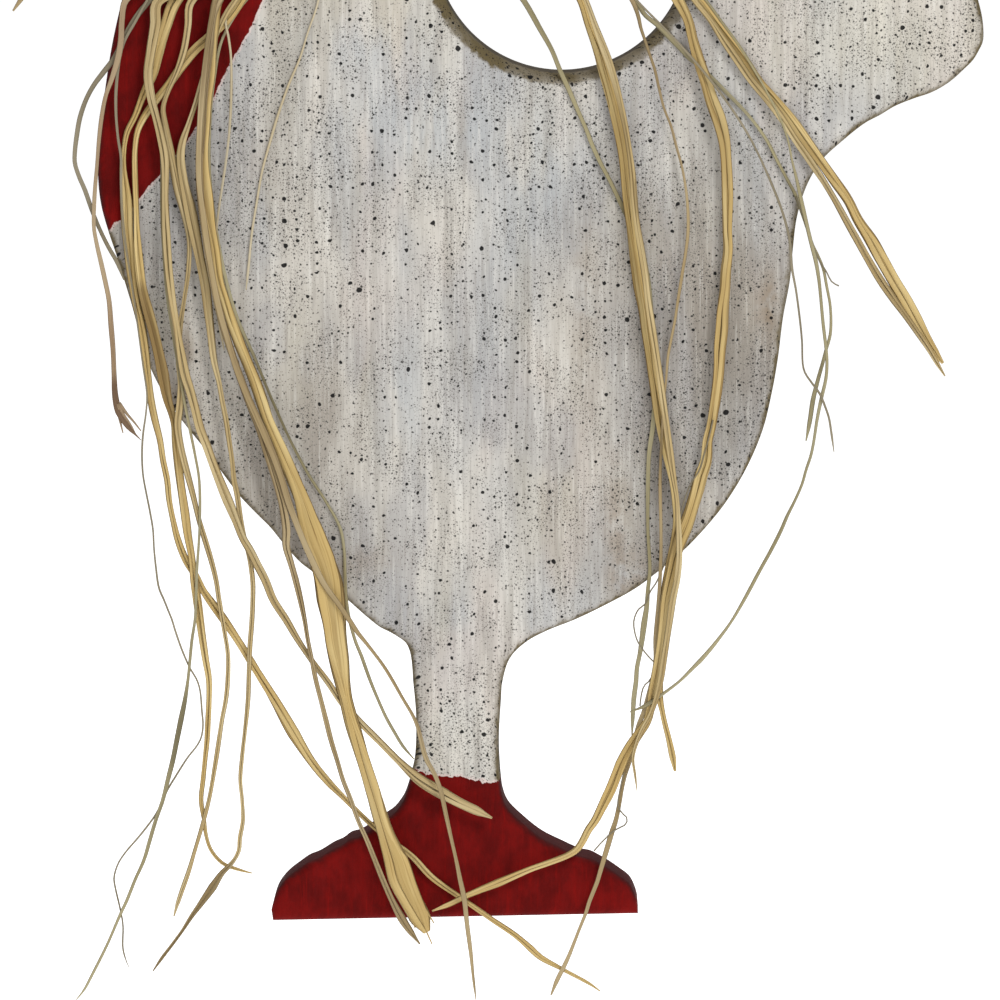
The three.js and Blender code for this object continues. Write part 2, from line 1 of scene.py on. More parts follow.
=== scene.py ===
# %% [markdown]
# # A wooden chicken to hang on a wall
#
# The real object is one pine board, sawn to the outline of a chicken that faces left. It is
# painted off-white with spatter and has a red comb, wattle and foot. A raffia bow is glued on
# the front of the neck, and its long tails hang down past the board. Every length here is in
# metres, +Z is up, the board's back is the plane y = 0 and its front faces -Y.

# %% Load the frame
import math
import random

import bmesh
import bpy
import numpy as np
from mathutils import Matrix, Vector
from mathutils.geometry import delaunay_2d_cdt


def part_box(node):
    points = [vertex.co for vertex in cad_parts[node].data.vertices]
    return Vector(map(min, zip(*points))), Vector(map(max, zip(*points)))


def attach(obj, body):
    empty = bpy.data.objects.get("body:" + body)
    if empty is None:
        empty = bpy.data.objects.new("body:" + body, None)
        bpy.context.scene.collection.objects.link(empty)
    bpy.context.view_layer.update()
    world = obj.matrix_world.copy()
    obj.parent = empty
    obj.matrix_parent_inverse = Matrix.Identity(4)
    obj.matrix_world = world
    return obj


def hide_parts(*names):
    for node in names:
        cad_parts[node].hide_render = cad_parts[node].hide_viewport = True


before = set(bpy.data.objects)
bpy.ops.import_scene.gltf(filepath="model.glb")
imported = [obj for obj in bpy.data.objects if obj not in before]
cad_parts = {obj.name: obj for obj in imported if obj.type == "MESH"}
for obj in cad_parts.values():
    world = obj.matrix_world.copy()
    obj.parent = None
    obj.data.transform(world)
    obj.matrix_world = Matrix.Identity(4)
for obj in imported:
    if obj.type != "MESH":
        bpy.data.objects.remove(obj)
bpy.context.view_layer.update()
bpy.ops.object.select_all(action="DESELECT")
MM = 0.001
BOARD_THICKNESS = 19 * MM
EDGE_ROUND = 2.8 * MM

# %% [markdown]
# ## The camera first
#
# All shapes were read off a picture of 1000 x 1000 pixels, so the camera comes first: with it,
# a pixel and a depth give a place. It could be matched by eye, by moving it until things line
# up. Here its place is worked out instead from the same view that the CAD part was drawn with:
# 8 degrees above the board, 1 degree to its right, 2.4 m off. The frame cuts off the head, so
# some pixels lie above it and have negative rows.

# %% Camera
PICTURE_SIDE = 1000
BOARD_ROWS = 1400
PIXEL = 0.457 / BOARD_ROWS
VIEW_AZIMUTH = math.radians(1)
VIEW_ELEVATION = math.radians(8)
VIEW_DISTANCE = 2.4
VIEW_CENTRE = Vector((13.5 * MM, -BOARD_THICKNESS, -114 * MM))
SENSOR = 36

aside, ahead = math.sin(VIEW_AZIMUTH), math.cos(VIEW_AZIMUTH)
drop, level = math.sin(VIEW_ELEVATION), math.cos(VIEW_ELEVATION)
FORWARD = Vector((-aside * level, ahead * level, -drop))
RIGHT = Vector((ahead, aside, 0))
UP = Vector((-aside * drop, ahead * drop, level))
EYE = VIEW_CENTRE - FORWARD * VIEW_DISTANCE


def seen_at(pixel, depth):
    """The place on the plane y = -depth that this pixel shows."""
    half = PICTURE_SIDE / 2
    ray = FORWARD * VIEW_DISTANCE
    ray += RIGHT * (pixel[0] - half) * PIXEL + UP * (half - pixel[1]) * PIXEL
    return EYE + ray * ((-depth - EYE.y) / ray.y)


camera_data = bpy.data.cameras.new("camera")
camera_data.sensor_width = SENSOR
camera_data.lens = SENSOR * VIEW_DISTANCE / (PICTURE_SIDE * PIXEL)
camera = bpy.data.objects.new("camera", camera_data)
camera.location = EYE
camera.rotation_euler = FORWARD.to_track_quat("-Z", "Y").to_euler()
bpy.context.scene.collection.objects.link(camera)
bpy.context.scene.camera = camera
print("lens", round(camera_data.lens, 1), "mm")

# %% [markdown]
# ## Sums on sockets
#
# A finish here is a sum of masks and noises, and a node tree of such sums is slow to wire by
# hand. It could be drawn in the shader editor. This small class lets a sum on sockets be
# written as plain maths instead, and each operator adds its Math node. Colours and vectors
# have their own nodes, made by the same one method.

# %% Helpers for finishes
class Value:
    """An output socket that can be used in sums."""

    def __init__(self, finish, socket):
        self.finish = finish
        self.socket = socket

    def also(self, name):
        """Another output of the same node."""
        return Value(self.finish, self.socket.node.outputs[name])

    def math(self, operation, *values):
        sockets = dict(enumerate(values))
        return self.finish.node("ShaderNodeMath", {"operation": operation}, sockets)

    def __add__(self, other):
        return self.math("ADD", self, other)

    def __sub__(self, other):
        return self.math("SUBTRACT", self, other)

    def __rsub__(self, other):
        return self.math("SUBTRACT", other, self)

    def __mul__(self, other):
        return self.math("MULTIPLY", self, other)

    def __lt__(self, other):
        return self.math("LESS_THAN", self, other)

    def most(self, other):
        return self.math("MAXIMUM", self, other)

    def least(self, other):
        return self.math("MINIMUM", self, other)

    def step(self, low, high):
        """0 at low and 1 at high, with a smooth rise. With low above high it falls."""
        sockets = {"Value": self, "From Min": low, "From Max": high}
        settings = {"interpolation_type": "SMOOTHSTEP"}
        return self.finish.node("ShaderNodeMapRange", settings, sockets)

    __radd__ = __add__
    __rmul__ = __mul__


class Finish:
    """One material and the ways to add nodes to it."""

    def __init__(self, name, **settings):
        self.material = bpy.data.materials.new(name)
        self.material.use_nodes = True
        self.tree = self.material.node_tree
        self.shader = self.tree.nodes["Principled BSDF"]
        for key, value in settings.items():
            self.shader.inputs[key.replace("_", " ")].default_value = value
        self.place = self.node("ShaderNodeTexCoord", out="Object")

    def node(self, kind, settings=None, sockets=None, out=0):
        node = self.tree.nodes.new(kind)
        for key, value in (settings or {}).items():
            setattr(node, key, value)
        for key, value in (sockets or {}).items():
            if isinstance(value, Value):
                self.tree.links.new(value.socket, node.inputs[key])
            else:
                node.inputs[key].default_value = value
        return Value(self, node.outputs[out])

    def attribute(self, name):
        return self.node("ShaderNodeAttribute", {"attribute_name": name}, out="Fac")

    def stretch(self, vector, *scales):
        """The vector with each part times its scale."""
        sockets = {0: vector, 1: scales}
        return self.node("ShaderNodeVectorMath", {"operation": "MULTIPLY"}, sockets)

    def shift(self, vector, *move):
        sockets = {0: vector, 1: move}
        return self.node("ShaderNodeVectorMath", {"operation": "ADD"}, sockets)

    def part(self, vector, axis):
        return self.node("ShaderNodeSeparateXYZ", None, {0: vector}, out=axis)

    def noise(self, vector, scale=1.0, detail=2.0, rough=0.5):
        sockets = {"Vector": vector, "Scale": scale, "Detail": detail, "Roughness": rough}
        return self.node("ShaderNodeTexNoise", None, sockets)

    def mix(self, factor, one, other):
        """The first colour where the factor is 0, the other where it is 1."""
        sockets = {0: factor, 6: one, 7: other}
        return self.node("ShaderNodeMix", {"data_type": "RGBA"}, sockets, out=2)

    def feed(self, name, value):
        self.tree.links.new(value.socket, self.shader.inputs[name])

    def bump(self, height, distance, strength=1.0):
        sockets = {"Height": height, "Distance": distance, "Strength": strength}
        self.feed("Normal", self.node("ShaderNodeBump", None, sockets))


def shade(red, green, blue):
    """A colour of the picture, 0 to 255 a channel, as the linear colour that nodes take."""

    def linear(value):
        value /= 255
        return value / 12.92 if value <= 0.04045 else ((value + 0.055) / 1.055) ** 2.4

    return (linear(red), linear(green), linear(blue), 1.0)


# %% [markdown]
# ## Raffia
#
# Raffia is the dried skin of a palm leaf: a thin flat strip whose edges have curled in, with
# fibres along it, so it shows fine lines and changes from straw to gold, green and rose. A
# curve with a bevel would do for a cord, but not for a strip that narrows, curls and turns
# over. So each strip is a mesh: rings of a curled section, laid along its route.

# %% Strips of raffia
SECTION_POINTS = 9
STRIP_STEP = 1.5 * MM
STRIP_THICKNESS = 0.3 * MM
TO_VIEWER = np.array((0.0, -1.0, 0.0))


def lengths_along(path):
    return np.concatenate([[0], np.cumsum(np.linalg.norm(np.diff(path, axis=0), axis=1))])


def smooth_path(points, step):
    """Places at even steps along a centripetal Catmull-Rom curve through the points."""
    points = np.array([tuple(point) for point in points], float)
    ends = 2 * points[[0, -1]] - points[[1, -2]]
    control = np.vstack([ends[:1], points, ends[1:]])
    dense = []
    for a, b, c, d in zip(control, control[1:], control[2:], control[3:]):
        gaps = [math.sqrt(np.linalg.norm(two - one)) for one, two in ((a, b), (b, c), (c, d))]
        t0, t1, t2, t3 = np.cumsum([0, *gaps])
        t = np.linspace(t1, t2, 16, endpoint=False)[:, None]
        ab = (t1 - t) / (t1 - t0) * a + (t - t0) / (t1 - t0) * b
        bc = (t2 - t) / (t2 - t1) * b + (t - t1) / (t2 - t1) * c
        cd = (t3 - t) / (t3 - t2) * c + (t - t2) / (t3 - t2) * d
        abc = (t2 - t) / (t2 - t0) * ab + (t - t0) / (t2 - t0) * bc
        bcd = (t3 - t) / (t3 - t1) * bc + (t - t1) / (t3 - t1) * cd
        dense.append((t2 - t) / (t2 - t1) * abc + (t - t1) / (t2 - t1) * bcd)
    dense = np.vstack([*dense, points[-1:]])
    along = lengths_along(dense)
    even = np.linspace(0, along[-1], max(4, math.ceil(along[-1] / step) + 1))
    return np.stack([np.interp(even, along, dense[:, axis]) for axis in range(3)], axis=1)


def wave(along, chance, *pairs):
    """A sum of slow waves: how much each moves, and over what length."""
    total = np.zeros(len(along))
    for amount, length in pairs:
        total += amount * np.sin(math.tau * along / length + chance.uniform(0, math.tau))
    return total


def unit(vectors):
    return vectors / np.maximum(np.linalg.norm(vectors, axis=1, keepdims=True), 1e-12)


class Ribbons:
    """Strips that are gathered into one mesh."""

    def __init__(self):
        self.points, self.faces, self.spots, self.edges, self.tones = [], [], [], [], []
        self.count = 0

    def add(self, path, width, curl, twist, facing=TO_VIEWER, start=0.0, tone=0.0):
        """Lays rings of a curled section along the path. The width, curl and twist have one
        value per point: the curl is half the section's arc, the twist turns it, both in
        radians. The tone, one for all or one per point, is how dark it is, from 0 to 1."""
        tangent = unit(np.gradient(path, axis=0))
        side = unit(np.cross(tangent, facing))
        outward = np.cross(side, tangent)
        u = np.linspace(-1, 1, SECTION_POINTS)
        half = np.array(width)[:, None] / 2
        arc = np.where(np.abs(curl) < 0.05, 0.05, curl)[:, None]
        across = half * np.sin(arc * u) / np.sin(arc)
        middle = half * (np.cos(arc * u) - np.cos(arc)) / np.sin(arc)
        middle -= middle.mean(axis=1, keepdims=True)
        wall = STRIP_THICKNESS / 2 * np.sqrt(1 - u**2)
        wall = np.minimum(wall, half * 0.35)
        back = slice(SECTION_POINTS - 2, 0, -1)
        x = np.hstack([across, across[:, back]])
        y = np.hstack([middle + wall, (middle - wall)[:, back]])
        sine, cosine = np.sin(twist)[:, None], np.cos(twist)[:, None]
        turned_x, turned_y = x * cosine - y * sine, x * sine + y * cosine
        rings = path[:, None] + side[:, None] * turned_x[..., None]
        rings = rings + outward[:, None] * turned_y[..., None]
        spread = np.concatenate([u, u[back]])
        along = lengths_along(path) + start
        spots = np.stack([half * spread, along[:, None] + 0 * spread], axis=2) * 100
        tones = np.clip(np.zeros(len(path)) + tone, 0, 1)[:, None] + 0 * spread
        self.grow(rings, spots, np.abs(spread) + 0 * half, tones)

    def grow(self, rings, spots, edges, tones):
        rows, columns = rings.shape[:2]
        index = np.arange(rows * columns).reshape(rows, columns) + self.count
        after = np.roll(index, -1, axis=1)
        quads = np.stack([index[:-1], after[:-1], after[1:], index[1:]], axis=2)
        faces = quads.reshape(-1, 4).tolist()
        faces += [index[0][::-1].tolist(), index[-1].tolist()]
        points = rings.reshape(-1, 3)
        one, two, three = (points[quads[..., k] - self.count] for k in range(3))
        if np.sum(np.einsum("...k,...k", one, np.cross(two, three))) < 0:
            faces = [face[::-1] for face in faces]
        self.faces += faces
        self.points.append(points)
        self.spots.append(spots.reshape(-1, 2))
        self.edges.append(edges.reshape(-1))
        self.tones.append(tones.reshape(-1))
        self.count += rows * columns

    def piece(self, name, material):
        """The finished object. Its UV map is in centimetres, across and along the strip."""
        mesh = bpy.data.meshes.new(name)
        mesh.from_pydata(np.vstack(self.points).tolist(), [], self.faces)
        mesh.update()
        corners = np.empty(len(mesh.loops), dtype=np.int32)
        mesh.loops.foreach_get("vertex_index", corners)
        layer = mesh.uv_layers.new(name="strip")
        layer.uv.foreach_set("vector", np.vstack(self.spots)[corners].ravel())
        for kind, values in (("edge", self.edges), ("tone", self.tones)):
            data = mesh.attributes.new(kind, "FLOAT", "POINT").data
            data.foreach_set("value", np.concatenate(values))
        mesh.polygons.foreach_set("use_smooth", np.ones(len(mesh.polygons), dtype=bool))
        mesh.materials.append(material)
        made = bpy.data.objects.new(name, mesh)
        bpy.context.scene.collection.objects.link(made)
        return made


# %% [markdown]
# ## The colour of raffia
#
# Seen close, a strip is a bundle of fibres: lines a third of a millimetre wide, darker in the
# folds and paler on the ridges, and its colour drifts along it. The darker colour in the folds
# is partly the fibres' own and partly painted shade, as the same noises give the bump. A photo
# texture would give that, but a noise that is stretched along the strip's own UV map does it at
# any scale. The UV map is in centimetres, so the fibres are as fine on a broad strip as on a
# hair.

# %% Raffia finishes
def raffia(name, pale, body, deep, shadow):
    finish = Finish(name, Roughness=0.65)
    finish.shader.inputs["Specular IOR Level"].default_value = 0.25
    spot = finish.node("ShaderNodeUVMap", {"uv_map": "strip"})
    edge, tone = finish.attribute("edge"), finish.attribute("tone")
    fibre = finish.noise(finish.stretch(spot, 26.0, 0.35, 1.0), detail=3.0, rough=0.6)
    vein = finish.noise(finish.stretch(finish.shift(spot, 7.0, 0.0, 0.0), 11.0, 0.10, 1.0))
    drift = finish.noise(finish.stretch(finish.shift(spot, 0.0, 31.0, 0.0), 1.2, 0.22, 1.0))
    # The fibre and vein noises are also the bump, so the darker colour lies in their grooves:
    # partly the fibres' own colour, partly painted shade.
    colour = finish.mix(fibre.step(0.24, 0.5), deep, body)
    colour = finish.mix(drift.step(0.42, 0.66) * 0.8, colour, pale)
    colour = finish.mix(vein.step(0.42, 0.3) * 0.55, colour, deep)
    colour = finish.mix(tone, colour, shadow)
    # Painted shade: the strip's curled edges, like the stretches and layers that the tone darkens,
    # are mixed towards the shadow colour.
    rim = edge.step(0.70, 1.0) * (0.5 + drift.step(0.62, 0.4) * 0.55)
    colour = finish.mix(rim * 0.9, colour, shadow)
    finish.feed("Base Color", colour)
    finish.feed("Roughness", 0.55 + fibre * 0.25)
    finish.bump(fibre + vein * 1.5, 0.1 * MM, 0.6)
    return finish.material


# The last colour is what the edges, the tone and the darker stretches mix towards; at the edges
# and under a broad strip's upper layers it is painted shade.
RAFFIA_COLOURS = {  # pale drift, body, fibres, then edges and shaded stretches
    "gold": ((206, 184, 130), (188, 161, 103), (150, 119, 64), (104, 80, 44)),
    "straw": ((196, 178, 136), (177, 155, 109), (142, 118, 76), (100, 82, 52)),
    "green": ((166, 158, 126), (148, 138, 104), (108, 100, 74), (80, 74, 54)),
    "rose": ((178, 158, 126), (156, 134, 106), (126, 98, 68), (88, 64, 46)),
    "umber": ((176, 158, 122), (154, 134, 96), (114, 94, 62), (80, 60, 40)),
    "faint": ((194, 184, 160), (180, 166, 136), (152, 138, 108), (134, 118, 92)),
    "hair": ((148, 138, 116), (130, 120, 98), (100, 92, 74), (80, 74, 60)),
}
RAFFIA = {
    look: raffia(f"raffia_{look}", *[shade(*colour) for colour in colours])
    for look, colours in RAFFIA_COLOURS.items()
}
print("raffia finishes", len(RAFFIA))

# %% [markdown]
# ## The tails of the bow
#
# Twenty-six strips hang from the bow, and each is a cord of its own. Their routes were read
# off the picture, from the knot to the tip. They could be dropped by a simulation, but then
# they would not cross where the real ones do. Each lies at the depth of its CAD node, where
# it clears the ones it crosses, and turns and curls a little on its way down. A strip is not
# equally wide all the way, so some of its pixels have a third number: how many pixels wide the
# strip looks there.

# %% Routes: width in millimetres, finish, pixels from knot to tip, some with a width in pixels
LEFT_TAILS = [
    (3, "gold", [
        (268, -86), (243, -66), (218, -42), (195, -20), (175, 2, 12), (166, 25), (158, 50, 12),
        (152, 75), (143, 96), (135, 116, 6), (127, 132), (124, 148, 5), (123, 165),
        (126, 200, 11), (127, 230), (129, 250), (131, 270), (134, 290, 9), (137, 305),
        (141, 322), (144, 340, 8), (146, 356), (148, 375), (151, 400), (155, 420, 7), (160, 440),
        (163, 460), (167, 480, 6), (169, 500), (173, 520), (178, 540), (186, 560, 7), (196, 576),
        (203, 590, 6), (212, 603), (226, 622, 9), (242, 646), (258, 672, 8), (275, 700, 11),
        (293, 732, 12), (312, 762, 9), (330, 784), (340, 794, 6), (352, 806), (372, 825),
        (392, 841), (412, 856, 6), (432, 877), (463, 899), (490, 918, 5), (515, 935),
        (530, 948, 7), (540, 957), (562, 969, 4), (590, 984), (600, 991, 3),
    ]),
    (2.6, "gold", [
        (284, -86), (270, -56), (256, -26), (241, 0, 9), (226, 20), (209, 37), (195, 50),
        (181, 67, 9), (169, 84), (157, 99), (146, 114, 7), (138, 130), (135, 150, 6), (135, 175),
        (136, 205), (137, 235, 7), (139, 260), (143, 290), (148, 310, 10), (153, 330),
        (158, 352), (163, 375, 12), (168, 400), (172, 413, 8), (175, 425), (176, 440),
        (178, 460, 8), (181, 485), (185, 512, 9), (188, 535), (192, 558, 8), (194, 580),
        (197, 600, 8), (200, 620), (203, 640), (206, 660, 6.5), (209, 680), (209, 700),
        (208, 720, 6.5), (207, 740), (205, 760), (203, 780, 6), (201, 800, 5), (204, 820),
        (206, 835, 4), (210, 848), (216, 857), (224, 864), (234, 868), (244, 871), (252, 873, 3),
    ]),
    (2, "straw", [
        (280, -86), (256, -60), (230, -36), (208, -16), (190, 4, 8), (188, 25), (184, 50, 7),
        (177, 72), (168, 92, 5), (163, 108), (165, 125), (169, 145, 8), (174, 168),
        (179, 190, 10), (185, 215), (189, 240, 5), (188, 270), (184, 300, 4), (180, 330, 5),
        (179, 360), (181, 385), (180, 405, 7), (178, 425), (181, 446), (186, 468, 7), (193, 495),
        (199, 520, 5.5), (205, 540), (211, 560), (216, 580, 5.5), (219, 600), (224, 630),
        (228, 655), (228, 680, 4.5), (226, 700), (222, 720), (216, 760, 4.5), (209, 800),
        (201, 830, 4.5), (195, 850), (189, 870), (182, 890), (177, 905), (174, 916, 4),
    ]),
    (1.3, "green", [
        (276, -86), (246, -60), (214, -34), (184, -12), (160, 2, 5), (156, 25), (152, 50),
        (148, 75), (149, 97), (154, 117), (160, 137), (162, 158, 4), (162, 200), (164, 250),
        (168, 300), (174, 340), (180, 375), (185, 405), (190, 430, 3), (195, 455), (199, 478),
        (200, 510, 3), (199, 540), (197, 570), (196, 600), (195, 620, 3), (192, 640), (190, 660),
        (188, 680, 3.5), (185, 700), (181, 720, 6), (177, 740, 6), (173, 760), (168, 780, 4.5),
        (163, 800), (156, 820, 4), (150, 840), (144, 860), (135, 880), (127, 900, 3.5),
        (120, 915), (107, 945), (92, 975), (84, 990), (76, 1000, 3),
    ]),
    (0.8, "hair", [
        (258, -100), (226, -80), (194, -54), (168, -28), (150, -4), (135, 22), (124, 42),
        (119, 62), (116, 90, 3), (116, 115), (118, 138), (121, 158), (121, 185), (122, 210),
        (125, 240), (130, 272), (135, 305), (139, 335), (143, 365), (147, 395), (146, 413, 2),
        (143, 435), (142, 455), (143, 475), (146, 492), (150, 512), (153, 530), (154, 548),
        (156, 568), (159, 588), (164, 600), (168, 610), (172, 620), (175, 630), (182, 650),
        (190, 668), (197, 680), (200, 690), (202, 712), (203, 725), (201, 738), (196, 747),
        (188, 757), (174, 779), (168, 789), (162, 802), (156, 814), (142, 833), (125, 853),
        (118, 864), (114, 878), (116, 891), (120, 908), (123, 925), (123, 948), (126, 960),
        (129, 967),
    ]),
    (2.8, "straw", [
        (272, -86), (244, -60), (214, -34), (184, -12), (157, 2, 10), (155, 25), (151, 50, 10),
        (148, 75), (151, 97), (156, 116, 8), (161, 136), (165, 158, 8), (165, 200, 7),
        (167, 250), (169, 275), (172, 300, 8), (176, 325), (180, 350), (185, 375, 9), (190, 390),
        (195, 408), (200, 428, 9), (207, 446), (214, 465, 10), (222, 485), (229, 502, 11),
        (236, 520), (243, 538, 9), (250, 550), (256, 562), (265, 580, 8), (273, 600),
        (286, 620, 7), (298, 640), (313, 662, 6.5), (328, 682), (342, 703, 6), (352, 713),
        (362, 724), (380, 742, 6), (400, 762, 7), (418, 778, 10.5), (442, 793, 13), (460, 803),
        (475, 810, 9.5), (492, 818, 6),
    ]),
    (2, "straw", [
        (292, -86), (277, -58), (258, -30), (240, -6), (226, 14), (216, 36), (208, 60, 6),
        (201, 84), (195, 105), (188, 125, 5), (182, 142), (180, 158), (183, 180), (189, 205, 12),
        (195, 232), (200, 258, 9), (205, 285), (208, 310, 9), (211, 335), (214, 360),
        (219, 382, 6), (222, 400), (226, 420), (229, 440), (232, 460, 5.5), (234, 480),
        (237, 495), (240, 515), (244, 535, 5), (247, 548), (250, 560), (253, 582), (253, 600, 5),
        (252, 620), (250, 645), (249, 670, 4.5), (248, 700), (245, 730), (242, 755, 4.5),
        (240, 780), (242, 800), (243, 820, 4.5), (240, 838), (239, 850), (234, 860, 4),
        (229, 866), (222, 873, 6), (212, 888, 9), (200, 905, 6.5), (192, 916), (183, 930, 4),
        (172, 945), (162, 958), (153, 971, 3.5),
    ]),
    (5.6, "gold", [
        (272, -84), (258, -58), (240, -28), (218, 0, 10), (214, 25), (211, 50, 11), (210, 75),
        (207, 100), (205, 125), (203, 150, 11), (203, 175), (206, 200, 12), (210, 225),
        (215, 250), (219, 280, 10), (225, 300), (231, 320, 11), (238, 340), (246, 360),
        (255, 382, 11), (262, 402), (268, 420, 11), (281, 450, 13), (294, 480, 14), (302, 500),
        (308, 520, 16), (315, 542, 20), (322, 560, 24), (328, 580, 27), (331, 600, 28),
        (334, 620, 27), (336, 640, 25), (339, 660), (342, 680, 17), (346, 700, 14.5), (351, 720),
        (357, 740, 14), (363, 760), (369, 780), (375, 800, 15), (381, 820, 18), (388, 840, 20),
        (396, 860), (402, 880, 22), (411, 900, 21), (421, 920, 20), (427, 932),
    ]),
    (2, "umber", [
        (287, -86), (266, -58), (240, -28), (216, 8), (210, 50), (205, 92), (202, 130),
        (199, 170), (201, 205), (206, 240), (211, 270), (217, 303), (226, 335), (236, 365),
        (248, 400), (259, 430), (269, 460), (277, 485), (283, 508), (286, 530), (286, 546, 7),
        (290, 560), (296, 580, 7.5), (301, 600), (305, 620, 5.5), (308, 640), (312, 660, 5),
        (316, 680), (321, 700), (326, 720, 5.5), (331, 740), (337, 760), (343, 780),
        (351, 800, 5), (358, 820), (367, 840), (375, 860, 4.5), (383, 880), (392, 900, 6),
        (403, 920, 8), (412, 933), (420, 944, 4),
    ]),
    (1.1, "green", [
        (296, -86), (283, -56), (264, -22), (240, 8), (222, 40), (214, 80), (210, 120),
        (209, 160), (212, 200), (218, 240), (226, 280), (238, 320), (254, 356), (272, 400),
        (290, 440), (308, 474), (326, 502), (340, 528), (344, 550), (345, 575), (346, 598),
        (349, 618), (352, 630), (356, 643), (361, 655), (370, 680), (377, 697), (386, 717),
        (395, 733), (403, 746), (414, 759),
    ]),
    (1.7, "umber", [
        (264, -86), (240, -60), (222, -30), (214, 6), (207, 50), (202, 96), (199, 140),
        (199, 182), (204, 222), (208, 250, 6), (213, 280), (217, 300), (222, 320, 7), (228, 340),
        (234, 360), (241, 380, 8), (249, 400), (258, 420), (267, 440), (275, 460), (282, 480),
        (289, 503), (299, 530), (310, 556, 7), (324, 584), (340, 606), (350, 621, 5), (358, 633),
        (367, 644, 4), (385, 668), (402, 697, 3.5), (416, 722), (426, 758, 5), (435, 775),
        (441, 792, 5), (446, 815), (451, 838), (456, 860, 4.5), (460, 880), (464, 899, 6),
        (467, 925), (471, 955), (473, 975, 3), (476, 1000, 2.5),
    ]),
    (1.5, "hair", [
        (258, -106), (226, -88), (196, -58), (170, -28), (150, 0, 6), (140, 12), (130, 27, 6),
        (122, 43), (113, 60, 5), (103, 73), (94, 85), (86, 100, 5), (80, 118), (77, 135),
        (75, 152), (75, 163, 5), (79, 176), (85, 190), (93, 213), (101, 232, 4), (109, 248),
        (117, 262), (124, 280, 4),
    ]),
    (1.8, "rose", [
        (260, -90), (228, -66), (192, -42), (156, -20), (126, 0, 7), (122, 20), (121, 40),
        (118, 58, 6), (112, 78), (106, 95, 4), (102, 115), (99, 140), (97, 165, 4), (95, 190),
        (94, 210, 5), (94, 228), (97, 245), (101, 262), (105, 280, 5), (109, 300), (111, 325),
        (113, 350, 5.5), (114, 375), (115, 395, 7), (118, 410, 8), (122, 418), (128, 427, 5),
        (135, 434), (141, 440, 2),
    ]),
    (0.9, "faint", [
        (298, -86), (284, -60), (262, -34), (240, -10), (226, 18), (229, 40), (231, 58),
        (231, 98), (229, 134), (225, 167), (220, 200), (216, 232), (214, 262), (215, 292),
        (219, 322), (224, 350),
    ]),
    (0.8, "faint", [
        (312, -86), (318, -66), (322, -44), (322, -20), (317, 6), (308, 32), (300, 58),
        (289, 84), (279, 112), (270, 142), (262, 172), (257, 201), (252, 232), (249, 262),
        (246, 290),
    ]),
    (1.9, "umber", [
        (258, -132), (240, -136), (218, -138), (196, -137), (174, -133), (152, -126),
        (130, -116), (110, -104), (91, -90), (74, -74), (58, -56), (45, -38), (33, -20),
        (22, -2), (13, 11),
    ]),
]
